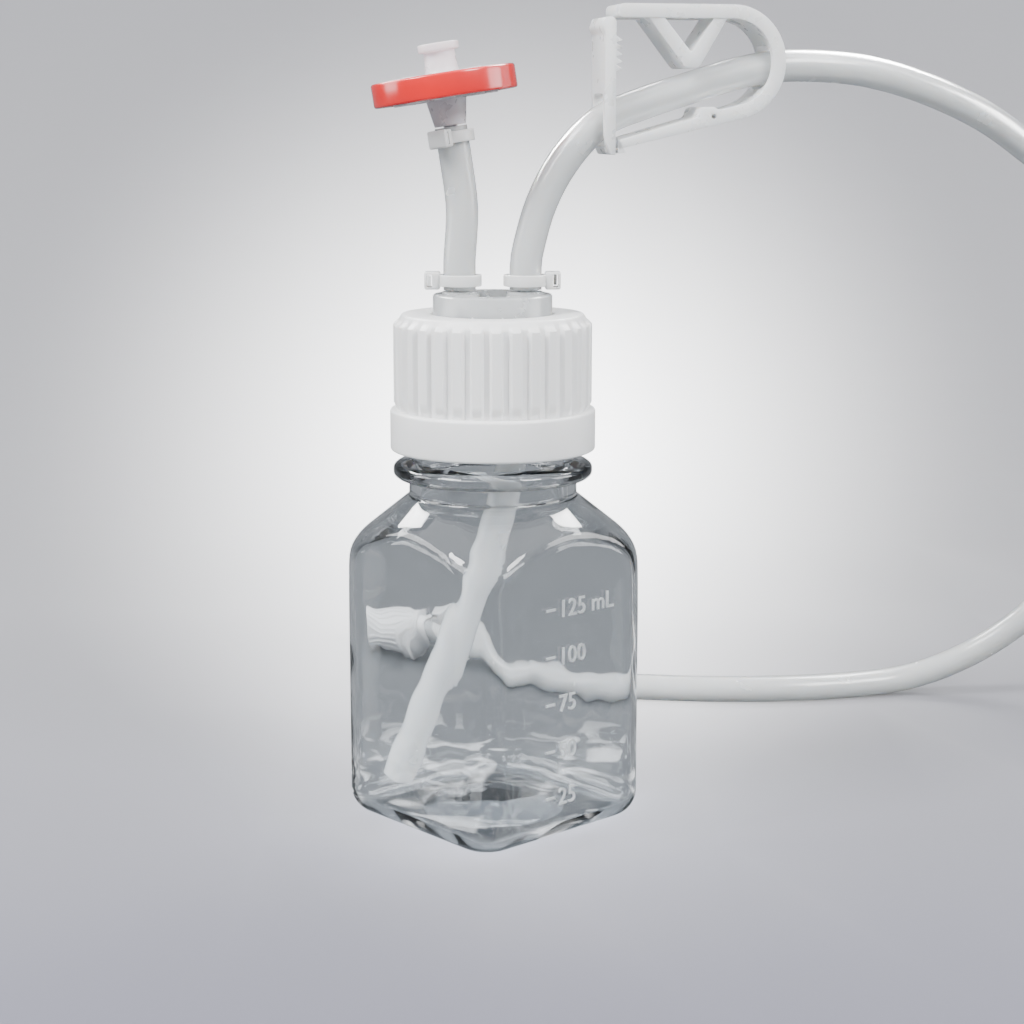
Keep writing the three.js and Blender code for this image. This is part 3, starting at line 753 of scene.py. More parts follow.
@dataclass
class TransferTube:
    """The long free tube from the transfer port, through the clamp, to the coupling."""

    spacing: float = 0.0024
    diameter: float = 2 * TUBE_RADIUS * MM
    pinch_reach: float = 10.0

    ROUTE = (
        (0.0047, 0.0054, 0.1183), (0.0047, 0.0054, 0.1215), (0.0048, 0.0055, 0.1248),
        (0.0053, 0.0064, 0.1295), (0.0062, 0.0082, 0.1360), (0.0078, 0.0110, 0.1426),
        (0.0101, 0.0153, 0.1492), (0.0132, 0.0204, 0.1545), (0.0176, 0.0281, 0.1580),
        (0.0221, 0.0360, 0.1609), (0.0280, 0.0464, 0.1644), (0.0323, 0.0539, 0.1659),
        (0.0350, 0.0598, 0.1662), (0.0408, 0.0732, 0.1653), (0.0462, 0.0883, 0.1617),
        (0.0507, 0.1054, 0.1555), (0.0532, 0.1188, 0.1487), (0.0563, 0.1314, 0.1405),
        (0.0580, 0.1438, 0.1295), (0.0589, 0.1540, 0.1158), (0.0579, 0.1618, 0.1004),
        (0.0547, 0.1673, 0.0832), (0.0497, 0.1707, 0.0654), (0.0430, 0.1722, 0.0483),
        (0.0354, 0.1712, 0.0337), (0.0271, 0.1678, 0.0225), (0.0180, 0.1620, 0.0136),
        (0.0097, 0.1542, 0.0076), (0.0030, 0.1459, 0.0045), (-0.0028, 0.1363, 0.0036),
        (-0.0113, 0.1207, 0.0036), (-0.0248, 0.1039, 0.0036), (-0.0366, 0.0929, 0.0036),
        (-0.0497, 0.0829, 0.0036), (-0.0625, 0.0780, 0.0036), (-0.0765, 0.0778, 0.0036),
        (-0.0891, 0.0793, 0.0043), (-0.1002, 0.0796, 0.0064), (-0.1069, 0.0777, 0.0070),
        (-0.1117, 0.0764, 0.0070),
    )

    def build(self) -> tuple[bpy.types.Object, list[Vector]]:
        """Makes the tube, with its top bending along with the clamp's arm.

        Returns:
            The tube's object and its ring centres in metres.
        """
        path = through(self.ROUTE, self.spacing)
        tube = hollow_tube([p / MM for p in path])
        clamp = PinchClamp()
        inside = clamp.frame().inverted()
        shares = [self.pinch_share(*(inside @ vert.co), clamp) for vert in tube.verts]
        made = piece("transfer_hose", tube, SILICONE, None, ["transfer_tube"])
        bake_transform(made, Body.CLOSURE.value, Body.PINCH_ARM.value, self.ROUTE[0], self.ROUTE[-1])
        for value, share in zip(made.data.attributes["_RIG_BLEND"].data, shares):
            value.value = share
        return made, path

    def pinch_share(self, x: float, y: float, z: float, clamp: PinchClamp) -> float:
        """How far a point of the tube is pushed by the clamp's arm as it closes.

        Args:
            x: Along the clamp, in millimetres.
            y: Up the clamp.
            z: Through its width.
            clamp: The clamp.

        Returns:
            1 where the V bears on the tube's top, 0 under the tube and away from the clamp.
        """
        if max(abs(x), abs(y - 14), abs(z)) > 25:
            return 0.0
        along = max(1 - abs(x - 1.7) / self.pinch_reach, 0)
        low = clamp.lower(clamp.outer - clamp.band, x) + 1.6
        above = min(max((y - low) / (2 * TUBE_RADIUS), 0), 1)
        return along * along * (3 - 2 * along) * above


@dataclass
class ShortTubes:
    """The dip tube inside the bottle and the vent tube under the filter."""

    vent_rise: float = 34.8
    vent_lean: float = 1.75
    vent_bow: float = 0.6
    vent_tilt: float = math.radians(8.8)
    stem: float = 6.2
    dip_side: float = 5.0

    def build(self) -> None:
        """Makes both tubes, each in place of its CAD solid."""
        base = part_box("vent_tube")[0].z / MM
        up = Vector((-math.sin(self.vent_tilt), 0, math.cos(self.vent_tilt)))
        top = Vector((-PORT_OFFSET - self.vent_lean, 0, base + self.vent_rise))
        x = -PORT_OFFSET
        route = [(x, 0, base), (x, 0, base + self.stem / 2), (x, 0, base + self.stem),
                 (x + self.vent_bow, 0, base + self.vent_rise / 2), top - up * 6, top - up * 2.5, top]
        piece("vent_hose", hollow_tube(through(route, 1.2)), SILICONE, Body.CLOSURE, ["vent_tube"],
              CLOSURE)
        low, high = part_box("dip_tube")
        start = high.z / MM - 0.05
        end = CLOSURE.inverted() @ Vector((low.x / MM + 3.05, low.y / MM + 3.2, low.z / MM + 1.2))
        drop = (start - end.z) / 3
        route = bezier((PORT_OFFSET, 0, start), (PORT_OFFSET - 0.3, 0, start - drop),
                       (end.x + drop * 0.4, self.dip_side * 0.7, end.z + drop + 2), end, 1.6)
        piece("dip_hose", hollow_tube(route), SILICONE, Body.CLOSURE, ["dip_tube"], CLOSURE)


# ---------------------------------------------------------------- the bottle


@dataclass
class Bottle:
    """The clear blown bottle: square body, round neck, support bead, thread and graduations."""

    half: float = 25.5
    corner: float = 9.0
    foot: float = 5.5
    wall: float = 1.2
    floor: float = 1.6
    push_up: float = 1.2
    body_height: float = 57.0
    shoulder_rise: float = 16.5
    shoulder_slope: float = 0.8
    collar_height: float = 3.8
    collar_radius: float = 18.5
    neck_radius: float = 17.5
    neck_wall: float = 2.0
    bead_radius: float = 21.9
    bead_height: float = 3.4
    thread_pitch: float = 4.233
    thread_turns: float = 1.25
    thread_radius: float = 1.2
    thread_drop: float = 10.5
    softness: float = 0.5
    steps: int = 168

    def reach(self, half: float, corner: float, angle: float) -> float:
        """Distance from the centre to a rounded square's outline.

        Args:
            half: Half the square's width.
            corner: Radius of its corners.
            angle: Direction that is looked in, from +X.

        Returns:
            The distance.
        """
        turn = angle % (math.pi / 2)
        a = min(turn, math.pi / 2 - turn)
        flat = half - corner
        straight = half / math.cos(a)
        if straight * math.sin(a) <= flat:
            return straight
        along = flat * (math.cos(a) + math.sin(a))
        return along + math.sqrt(max(along**2 - 2 * flat**2 + corner**2, 0))

    def wall_rows(self, inset: float) -> list[tuple[float, float, float, float]]:
        """Rows of the body's wall, from foot to neck.

        Args:
            inset: How far the rows stand inside the outer wall.

        Returns:
            Rows of radius, height, half width of the flat sides, and corner radius.
        """
        half, corner, foot = self.half - inset, self.corner - inset, self.foot - inset
        ground = self.floor if inset else 0.0
        rows = []
        for k in range(9):
            t = k / 8 * math.pi / 2
            drawn = foot * (1 - math.sin(t))
            rows.append((2 * self.half, ground + foot * (1 - math.cos(t)), half - drawn,
                         max(corner - drawn, 2.0)))
        for k in range(1, 7):
            rows.append((2 * self.half, ground + foot + (self.body_height - 12 - foot) * k / 6, half,
                         corner))
        far = self.reach(half, corner, math.pi / 4)
        neck_base = self.body_height + self.shoulder_rise
        collar = self.neck_radius - self.neck_wall if inset else self.collar_radius
        roll_end = neck_base - (far - 1.7 - collar) * self.shoulder_slope
        shoulder = rounded([(far + 1.2, self.body_height - 6), (far, roll_end - 1.4, 6),
                            (collar, neck_base, 3.2), (collar, neck_base + 1.2)], 8)
        steps = [shoulder[0]]
        for a, b in zip(shoulder, shoulder[1:]):
            count = max(round(math.dist(a, b) / 1.6), 1)
            steps += [(a[0] + (b[0] - a[0]) * k / count, a[1] + (b[1] - a[1]) * k / count)
                      for k in range(1, count + 1)]
        return rows + [(r, z, half, corner) for r, z in steps]

    def shell(self) -> bmesh.types.BMesh:
        """The bottle's wall: a turned profile pressed between four flat sides.

        Returns:
            The wall with its real thickness, open at the lip.
        """
        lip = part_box("bottle")[1].z / MM
        ring = self.half - self.foot - 4.5
        bead_low = self.body_height + self.shoulder_rise + self.collar_height
        middle, half = bead_low + self.bead_height / 2, self.bead_height / 2
        outside = [(0, self.push_up + 0.25), (1.6, self.push_up + 0.2), (2.2, self.push_up),
                   (ring - 4, self.push_up * 0.9), (ring - 1.4, self.push_up * 0.35), (ring, 0)]
        bead = rounded([(self.collar_radius, bead_low - 0.6, 0.4),
                        (self.bead_radius - 1, middle - half, 0.6),
                        (self.bead_radius, middle - half * 0.5, 0.5),
                        (self.bead_radius, middle + half * 0.5, 0.5),
                        (self.bead_radius - 1, middle + half, 0.6),
                        (self.neck_radius, middle + half + 0.5, 0.5)], 4)
        bore = self.neck_radius - self.neck_wall
        top = rounded([(self.neck_radius, lip - 3), (self.neck_radius, lip, 0.5), (bore, lip, 0.5),
                       (bore, lip - 3)], 4)
        outside += [*self.wall_rows(0), *bead, *top]
        inside = [(0, self.push_up + self.floor), (ring - 3, self.push_up + self.floor),
                  (ring, self.floor + 0.4), *self.wall_rows(self.wall)]
        rows = outside + inside[::-1]
        bm = bmesh.new()
        widths = bm.verts.layers.float.new("half")
        corners = bm.verts.layers.float.new("corner")
        verts = []
        for row in rows:
            vert = bm.verts.new((row[0], 0, row[1]))
            if len(row) > 2:
                vert[widths], vert[corners] = row[2], row[3]
            verts.append(vert)
        edges = [bm.edges.new(pair) for pair in zip(verts, verts[1:])]
        bmesh.ops.spin(bm, geom=[*verts, *edges], cent=(0, 0, 0), axis=(0, 0, 1), angle=math.tau,
                       steps=self.steps, use_merge=True, use_duplicate=False)
        for vert in bm.verts:
            if vert[widths]:
                self.press(vert, vert[widths], vert[corners])
        bmesh.ops.remove_doubles(bm, verts=bm.verts, dist=1e-4)
        bmesh.ops.recalc_face_normals(bm, faces=bm.faces)
        return bm

    def press(self, vert: bmesh.types.BMVert, half: float, corner: float) -> None:
        """Pulls a turned vertex in to the flat sides.

        Args:
            vert: The vertex.
            half: Half the width between the sides at its height.
            corner: Radius of the corners there.
        """
        radius = math.hypot(vert.co.x, vert.co.y)
        side = self.reach(half, corner, math.atan2(vert.co.y, vert.co.x))
        gap = abs(radius - side) / self.softness
        held = min(radius, side) - self.softness * math.log1p(math.exp(-gap))
        vert.co.x *= held / radius
        vert.co.y *= held / radius

    def thread(self) -> bmesh.types.BMesh:
        """The neck's thread, from below the lip upwards.

        Returns:
            The ridge, half sunk in the neck's wall.
        """
        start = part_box("bottle")[1].z / MM - self.thread_drop
        return thread_ridge(self.neck_radius, start, self.thread_pitch, self.thread_turns,
                            self.thread_radius)

    def build(self) -> None:
        """Makes the bottle and its graduations."""
        shell = carved(self.shell(), [self.thread()], "UNION")
        piece("bottle_shell", shell, CLEAR, Body.BOTTLE, ["bottle"])
        Graduations().build(self)


@dataclass
class Graduations:
    """Raised volume marks on the +X face."""

    first_height: float = 10.5
    step_height: float = 10.44
    step_volume: int = 25
    marks: int = 5
    letter: float = 5.4
    relief: float = 0.3
    left: float = -7.6
    dash: tuple[float, float] = (2.6, 0.5)
    sunk: float = 0.02

    def build(self, bottle: Bottle) -> None:
        """Makes the marks as one piece that stands proud of the face.

        Args:
            bottle: The bottle that they stand on.
        """
        upright = Matrix(((0, 0, 1, 0), (1, 0, 0, 0), (0, 1, 0, 0), (0, 0, 0, 1)))
        face = bottle.half - self.sunk
        parts = []
        for k in range(self.marks):
            height = self.first_height + k * self.step_height
            words = str((k + 1) * self.step_volume) + (" mL" if k == self.marks - 1 else "")
            place = Matrix.Translation((face, self.left + self.dash[0] + 1, height - self.letter * 0.36))
            parts.append(moved(self.text(words), place @ upright))
            parts.append(block((self.relief, *self.dash),
                               (face + self.relief / 2, self.left + self.dash[0] / 2, height)))
        piece("graduations", merged(*parts), MARKS, Body.BOTTLE)

    def text(self, words: str) -> bmesh.types.BMesh:
        """Raised lettering in the XY plane.

        Args:
            words: What it says.

        Returns:
            The letters, from their lower left corner.
        """
        curve = bpy.data.curves.new("mark", "FONT")
        curve.body = words
        curve.size = self.letter
        curve.extrude = self.relief / 2
        curve.resolution_u = 3
        holder = bpy.data.objects.new("mark", curve)
        bpy.context.scene.collection.objects.link(holder)
        mesh = bpy.data.meshes.new_from_object(
            holder.evaluated_get(bpy.context.evaluated_depsgraph_get()))
        bm = bmesh.new()
        bm.from_mesh(mesh)
        bpy.data.objects.remove(holder)
        bpy.data.curves.remove(curve)
        bpy.data.meshes.remove(mesh)
        bmesh.ops.remove_doubles(bm, verts=bm.verts, dist=1e-4)
        return moved(bm, Matrix.Translation((0, 0, self.relief / 2)))


# ---------------------------------------------------------------- the screw cap


@dataclass
class ScrewCap:
    """The white open-top cap: a plain band below a ribbed grip."""

    bore: float = 19.05
    band_bore: float = 20.6
    band_radius: float = 22.5
    band_height: float = 9.0
    grip_radius: float = 20.7
    top_radius: float = 19.8
    top_thickness: float = 1.8
    chamfer: float = 1.7
    hole: float = 13.4
    ribs: int = 32
    rib_height: float = 1.0
    rib_share: float = 0.6
    steps_per_rib: int = 14
    thread_radius: float = 0.95

    def build(self) -> None:
        """Makes the cap as one turned and ribbed piece, with its inner thread."""
        low, high = (corner.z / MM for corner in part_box("screw_cap"))
        band = low + self.band_height
        rib_top = high - self.chamfer
        grip = [(self.grip_radius, band + (rib_top - band) * k / 12) for k in range(1, 12)]
        profile = [
            *rounded([(self.band_bore, low, 0.5), (self.band_radius, low, 0.6),
                      (self.band_radius, band, 0.7), (self.grip_radius, band, 0.35)], 4),
            *grip,
            *rounded([(self.grip_radius, rib_top, 0.6), (self.top_radius, high, 0.5),
                      (self.hole, high, 0.35), (self.hole, high - self.top_thickness, 0.3),
                      (self.bore, high - self.top_thickness, 0.6), (self.bore, band - 1.5),
                      (self.band_bore, band - 3, 0.4)], 4),
        ]
        bm = lathe(profile, self.ribs * self.steps_per_rib)
        for vert in bm.verts:
            self.raise_rib(vert, band, rib_top)
        bottle = Bottle()
        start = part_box("bottle")[1].z / MM - bottle.thread_drop - bottle.thread_pitch / 2
        thread = thread_ridge(self.bore, start, bottle.thread_pitch, bottle.thread_turns,
                              self.thread_radius)
        piece("cap_shell", merged(bm, thread), WHITE, Body.CAP, ["screw_cap"])

    def raise_rib(self, vert: bmesh.types.BMVert, band: float, rib_top: float) -> None:
        """Moves a vertex of the grip's outside out to its rib.

        Args:
            vert: The vertex.
            band: Height of the plain band's top.
            rib_top: Height where the ribs end.
        """
        radius = math.hypot(vert.co.x, vert.co.y)
        if radius < self.top_radius + 0.3 or not band + 0.2 < vert.co.z < rib_top + 0.9:
            return
        turn = math.atan2(vert.co.y, vert.co.x) / math.tau * self.ribs
        across = abs((turn % 1) - 0.5) * 2
        side = min(max((self.rib_share - across) / 0.22 + 0.5, 0), 1)
        side = side * side * (3 - 2 * side)
        ends = min(max((rib_top + 0.6 - vert.co.z) / 1.2, 0), 1)
        scale = 1 + self.rib_height * side * ends / radius
        vert.co.x *= scale
        vert.co.y *= scale


# ---------------------------------------------------------------- the insert


@dataclass
class PortInsert:
    """The translucent insert: flange, drum with its pocket, two barbed ports and two stems."""

    drum_radius: float = 13.0
    flange_radius: float = 17.9
    flange: float = 1.9
    plug: float = 4.0
    plug_outer: float = 15.0
    plug_wall: float = 1.8
    boss_radius: float = 3.9
    boss: float = 0.5
    stem_length: float = 6.2
    stem_radius: float = 1.5
    barb_radius: float = 1.95
    bore: float = 0.9
    pocket: tuple[float, float, float] = (6.2, 17.0, 2.6)

    def port(self, side: Side, top: float, bottom: float) -> bmesh.types.BMesh:
        """One port's barbed stem above and its plain stem below.

        Args:
            side: Which port it is.
            top: Height of its boss.
            bottom: Height of the plain stem's lower end.

        Returns:
            The stem with its bore, in its place beside the centre.
        """
        barb = self.stem_length / 3
        profile = [(self.bore, bottom), (self.stem_radius, bottom), (self.stem_radius, top)]
        for k in range(3):
            z = top + k * barb
            profile += [(self.barb_radius, z + 0.2), (self.barb_radius, z + 0.5),
                        (self.stem_radius, z + barb)]
        profile.append((self.bore, top + self.stem_length))
        return moved(lathe(profile, 32), Matrix.Translation((side.value * PORT_OFFSET, 0, 0)))

    def build(self) -> None:
        """Makes the insert in place of its CAD node."""
        low, high = (corner.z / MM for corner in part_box("port_insert"))
        boss_top = high - self.stem_length
        drum_top = boss_top - self.boss
        flange_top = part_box("screw_cap")[1].z / MM - ScrewCap.top_thickness - 0.3
        flange_low = flange_top - self.flange
        body = lathe(rounded([
            (0, flange_low + 1.2), (self.plug_outer - self.plug_wall, flange_low + 1.2, 0.4),
            (self.plug_outer - self.plug_wall, flange_low - self.plug, 0.3),
            (self.plug_outer, flange_low - self.plug, 0.5), (self.plug_outer, flange_low, 0.2),
            (self.flange_radius, flange_low, 0.3), (self.flange_radius, flange_top, 0.3),
            (self.drum_radius, flange_top, 0.3), (self.drum_radius, drum_top, 0.7), (0, drum_top),
        ], 3), 96, closed=False)
        bosses = [moved(lathe(rounded([(0, drum_top - 1), (self.boss_radius, drum_top - 1),
                                       (self.boss_radius, boss_top, 0.25), (0, boss_top)], 3), 32,
                              closed=False),
                        Matrix.Translation((side.value * PORT_OFFSET, 0, 0))) for side in Side]
        width, length, depth = self.pocket
        hollow = soften(block((width, length, 2 * depth), (0, 0, drum_top)), 0.5)
        body = carved(body, bosses, "UNION")
        body = carved(body, [hollow])
        stems = [self.port(side, boss_top, low) for side in Side]
        piece("insert_body", merged(body, *stems), CLOUDY, Body.CLOSURE, ["port_insert"], CLOSURE)
        dress_node("neck_gasket", SEAL)


# ---------------------------------------------------------------- cable ties


@dataclass
class CableTie:
    """A ratchet cable tie: strap, head with its slot, and the trimmed tail."""

    name: str
    node: str
    matrix: Matrix
    inner: float = 3.8
    strap: float = 1.0
    width: float = 2.5
    head: tuple[float, float, float] = (3.4, 4.4, 3.8)

    def build(self) -> bpy.types.Object:
        """Makes the tie round Z with its head towards +X, then places it.

        Returns:
            The tie's object.
        """
        half = self.width / 2
        outer = self.inner + self.strap
        strap = lathe(rounded([(self.inner, -half, 0.2), (outer, -half, 0.3), (outer, half, 0.3),
                               (self.inner, half, 0.2)], 3), 64)
        depth, width, height = self.head
        middle = outer + depth / 2 - 0.6
        head = soften(block((depth, width, height), (middle, 0, 0)), 0.45, 3)
        slot = soften(block((1.1, width + 1, self.width + 0.2), (outer + depth / 2, 0, 0)), 0.15)
        head = carved(head, [slot])
        tail = soften(block((0.7, 0.8, self.width - 0.2), (outer + depth / 2, width / 2 - 0.5, 0)), 0.1)
        whole = merged(strap, head, tail)
        return piece(self.name, whole, NYLON, Body.CLOSURE, [self.node], self.matrix)


# ---------------------------------------------------------------- the vent filter


@dataclass
class VentFilter:
    """The disc filter: two welded shells, the red rim moulded round them, and the membrane."""

    radius: float = 15.5
    thickness: float = 5.1
    ring_wall: float = 1.6
    hub_radius: float = 4.4
    hub_length: float = 5.8
    stem_length: float = 5.0
    luer_radius: float = 3.55
    luer_length: float = 6.5
    luer_rim: float = 4.4
    rim_height: float = 1.6
    socket: float = 2.1
    gap: float = 0.3
    face_offset: float = 3.2
    ribs: int = 12
    tie_drop: float = 2.2
    tie_turn: float = math.radians(-115)

    def frame(self) -> Matrix:
        """The filter's own placement.

        Returns:
            A placement with its origin at the tube's end and Z out of the open inlet.
        """
        mount = next(m for m in frame["record"]["mounts"] if m["name"] == "vent_inlet_face")
        axis = Vector(mount["axis"]).normalized()
        side = Vector((-math.sin(PORT_LINE), math.cos(PORT_LINE), 0))
        top = Vector(mount["pos_m"]) / MM - side * self.face_offset
        origin = top - axis * (self.hub_length + self.gap + self.thickness + self.luer_length)
        across = side.cross(axis)
        turn = Matrix((across, side, axis)).transposed().to_4x4()
        return Matrix.Translation(origin) @ turn

    def ribbed(self, shell: bmesh.types.BMesh, inner: float, outer: float, low: float,
               high: float) -> bmesh.types.BMesh:
        """Adds the radial ribs that stiffen a shell's face.

        Args:
            shell: The turned shell.
            inner: Radius where the ribs start.
            outer: Radius where they end.
            low: Height of their lower edge.
            high: Height of their upper edge.

        Returns:
            The shell with its ribs.
        """
        rib = (outer - inner, 0.7, high - low)
        parts = [shell]
        for k in range(self.ribs):
            turn = Matrix.Rotation(math.tau * (k + 0.5) / self.ribs, 4, "Z")
            bar = soften(block(rib, ((inner + outer) / 2, 0, (low + high) / 2)), 0.15)
            parts.append(moved(bar, turn))
        return merged(*parts)

    def tie_place(self) -> Matrix:
        """Where the tie holds the tube on the filter's stem."""
        return (self.frame() @ Matrix.Translation((0, 0, -self.tie_drop))
                @ Matrix.Rotation(self.tie_turn, 4, "Z"))

    def build(self) -> None:
        """Makes the filter's shells and rim, and dresses its membrane."""
        place = self.frame()
        base = self.hub_length + self.gap
        top = base + self.thickness
        middle = (base + top) / 2
        shell = self.radius - self.ring_wall - self.gap
        lip = shell - 1.4
        outlet = lathe(rounded([
            (0.9, -self.stem_length), (1.5, -self.stem_length), (1.9, -self.stem_length + 1.6),
            (1.5, -self.stem_length + 1.7), (1.9, -0.6), (1.5, -0.5), (1.5, 0.3), (3.4, 0.3, 0.2),
            (self.hub_radius - 0.3, base - 1.8, 0.6), (self.hub_radius, base + 0.1, 0.5),
            (lip - 0.3, base + 0.1, 0.2), (lip - 0.3, base + 1, 0.1), (shell, base + 1, 0.2),
            (shell, middle - 0.5, 0.2), (0.9, middle - 0.5),
        ], 3), 72)
        outlet = self.ribbed(outlet, self.hub_radius - 0.2, lip - 0.6, base - 0.3, base + 0.3)
        piece("filter_lower_shell", outlet, BLUSHED, Body.CLOSURE, ["filter_outlet_shell"], place)
        rim = top + self.luer_length
        inlet = lathe(rounded([
            (0.9, middle + 0.5), (shell, middle + 0.5, 0.2), (shell, top - 1, 0.1),
            (lip - 0.3, top - 1, 0.1), (lip - 0.3, top - 0.1, 0.2),
            (self.luer_radius + 0.4, top - 0.1, 0.5), (self.luer_radius, top + 1, 0.3),
            (self.luer_radius - 0.25, rim - self.rim_height - 0.1, 0.3),
            (self.luer_rim, rim - self.rim_height, 0.3), (self.luer_rim, rim, 0.3),
            (self.socket + 0.25, rim, 0.2), (self.socket, middle + 2), (0.9, middle + 1.6),
        ], 3), 72)
        inlet = self.ribbed(inlet, self.luer_radius - 0.2, lip - 0.6, top - 0.3, top + 0.3)
        piece("filter_upper_shell", inlet, BLUSHED, Body.CLOSURE, ["filter_inlet_shell"], place)
        inner = shell + self.gap
        ring = lathe(rounded([
            (inner, base + 0.6, 0.15), (lip, base + 0.6, 0.15), (lip, base, 0.15),
            (self.radius, base, 0.6), (self.radius, top, 0.6), (lip, top, 0.15),
            (lip, top - 0.6, 0.15), (inner, top - 0.6, 0.15),
        ], 4), 128)
        piece("filter_rim", ring, RED, Body.CLOSURE, ["filter_ring"], place)
        dress_node("filter_membrane", MEMBRANE)


# ---------------------------------------------------------------- the pinch clamp


@dataclass
class PinchClamp:
    """The ratchet pinch clamp: one bent frame from anvil to pinching V, and its toothed post.

    It is drawn in its own plane: x along the tube's run, y up, and z through its width.
    """

    corner: tuple[float, float, float] = (21.3, 34.6, 147.9)
    heading: float = math.radians(60.5)
    width: float = 11.4
    bend: tuple[float, float] = (10.7, 18.7)
    outer: float = 12.1
    band: float = 2.9
    slope: float = math.radians(15.2)
    left: float = -14.9
    window: float = 8.2
    edge: float = 0.6
    eye: tuple[float, float] = (6.7, 7.3)
    eye_radius: float = 0.55
    teeth: int = 5
    tooth_pitch: float = 1.5
    tooth_start: float = 16.7
    tooth_depth: float = 1.4
    post_thickness: float = 2.4
    hinge: tuple[float, float] = (math.radians(32), math.radians(68))

    def frame(self) -> Matrix:
        """The clamp's placement.

        Returns:
            A placement in millimetres, X along the tube's run and Y up.
        """
        across = Vector((math.sin(self.heading), -math.cos(self.heading), 0))
        along = Vector((math.cos(self.heading), math.sin(self.heading), 0))
        turn = Matrix((along, Vector((0, 0, 1)), across)).transposed().to_4x4()
        return Matrix.Translation(self.corner) @ turn

    def on_bend(self, radius: float, angle: float) -> tuple[float, float]:
        """A point round the bend's centre."""
        return (self.bend[0] + radius * math.cos(angle), self.bend[1] + radius * math.sin(angle))

    def lower(self, radius: float, x: float) -> float:
        """Height of the lower arm's edge of a radius, at x."""
        start = self.on_bend(radius, self.slope - math.pi / 2)
        return start[1] + (x - start[0]) * math.tan(self.slope)

    def outline(self) -> Profile:
        """The frame's side view, from the arm's free end round the bend to the lower end.

        Returns:
            The closed outline.
        """
        inner, first = self.outer - self.band, self.slope - math.pi / 2
        turn = [first + (math.pi / 2 - first) * k / 28 for k in range(29)]
        top_out, top_in = self.bend[1] + self.outer, self.bend[1] + inner
        foot_in, foot_out = self.lower(inner, self.left), self.lower(self.outer, self.left)
        lower_in = rounded([
            (self.left + 1.2, top_in), (self.left + 0.2, foot_in, 0.6),
            (3.1, self.lower(inner, 3.1), 0.8), (3.7, 8.9, 0.6), (4.6, 9.3, 0.4), (6.8, 9.3, 0.4),
            (7.7, 8.7, 0.6), (10.2, self.lower(inner, 10.2), 1.2),
            (12.6, self.lower(inner, 12.6)),
        ], 4)[1:]
        arm = rounded([(0, top_out), (self.left + 0.3, top_out, 1.2), (self.left + 0.3, top_in, 1.0),
                       (0, top_in)], 4)[1:-1]
        lower_out = [(self.left + 1.8, self.lower(self.outer, self.left + 1.8)),
                     (self.left + 0.4, foot_out + 0.35), (self.left + 0.2, foot_out + 1.2)]
        return [*(self.on_bend(self.outer, a) for a in turn), *arm,
                *(self.on_bend(inner, a) for a in turn[::-1]), *lower_in[::-1], *lower_out]

    def vee(self) -> bmesh.types.BMesh:
        """The pinching V under the arm, open in its middle.

        Returns:
            The V, reaching a little into the arm.
        """
        top = self.bend[1] + self.outer - self.band + 0.7
        half = self.width / 2 - 0.2
        solid = prism(rounded([(-8.6, top), (-0.3, 18.2, 0.8), (0.4, 17.5, 0.5), (2.8, 17.5, 0.5),
                               (3.6, 18.2, 0.8), (9.8, top)], 4), -half, half)
        opening = prism(rounded([(-4.7, top - 0.5, 0.6), (1.5, 20.7, 0.7), (6.5, top - 0.5, 0.6)], 4),
                        -self.width, self.width)
        return carved(solid, [opening])

    def base_and_arm(self) -> bpy.types.Object:
        """The frame from the lower end to the free end, bending at its living hinge.

        Returns:
            The frame's object.
        """
        half = self.width / 2
        bar = prism(self.outline(), -half, half)
        way = soften(block((12, self.window + 1, self.window),
                           (self.bend[0] + self.outer, self.bend[1] - 0.9, 0)), 1.2, 3)
        pin = [(0, -half - 1), (self.eye_radius, -half - 1), (self.eye_radius, half + 1), (0, half + 1)]
        eye = moved(lathe(pin, 20, False), Matrix.Translation((*self.eye, 0)))
        bar = carved(soften(bar, self.edge, 3), [way, eye])
        bar = carved(bar, [soften(self.vee(), 0.5, 2)], "UNION")
        bmesh.ops.triangulate(bar, faces=[f for f in bar.faces if len(f.verts) > 4])
        sides = [(vert.co.x, vert.co.y) for vert in bar.verts]
        made = piece("clamp_frame", bar, NATURAL, None, ["clamp_base", "clamp_arm"], self.frame())
        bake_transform(made, Body.CLOSURE.value, Body.PINCH_ARM.value, self.point(self.hinge[0]),
                 self.point(self.hinge[1]))
        share = made.data.attributes["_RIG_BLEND"].data
        for value, side in zip(share, sides):
            value.value = self.arm_share(*side)
        return made

    def point(self, angle: float) -> tuple[float, float, float]:
        """A point of the bend in metres, in the object's own space."""
        x, y = self.on_bend(self.outer, angle)
        return tuple(self.frame() @ Vector((x, y, 0)) * MM)

    def arm_share(self, x: float, y: float) -> float:
        """How far a point of the frame moves with the arm.

        Args:
            x: Along the clamp, in millimetres.
            y: Up the clamp.

        Returns:
            0 below the living hinge, 1 past it, and a smooth share in the hinge.
        """
        if x < self.bend[0] - 2:
            return 1.0 if y > 16.5 else 0.0
        angle = math.atan2(y - self.bend[1], x - self.bend[0])
        if angle < -math.pi / 2:
            return 0.0
        t = min(max((angle - self.hinge[0]) / (self.hinge[1] - self.hinge[0]), 0), 1)
        return t * t * (3 - 2 * t)

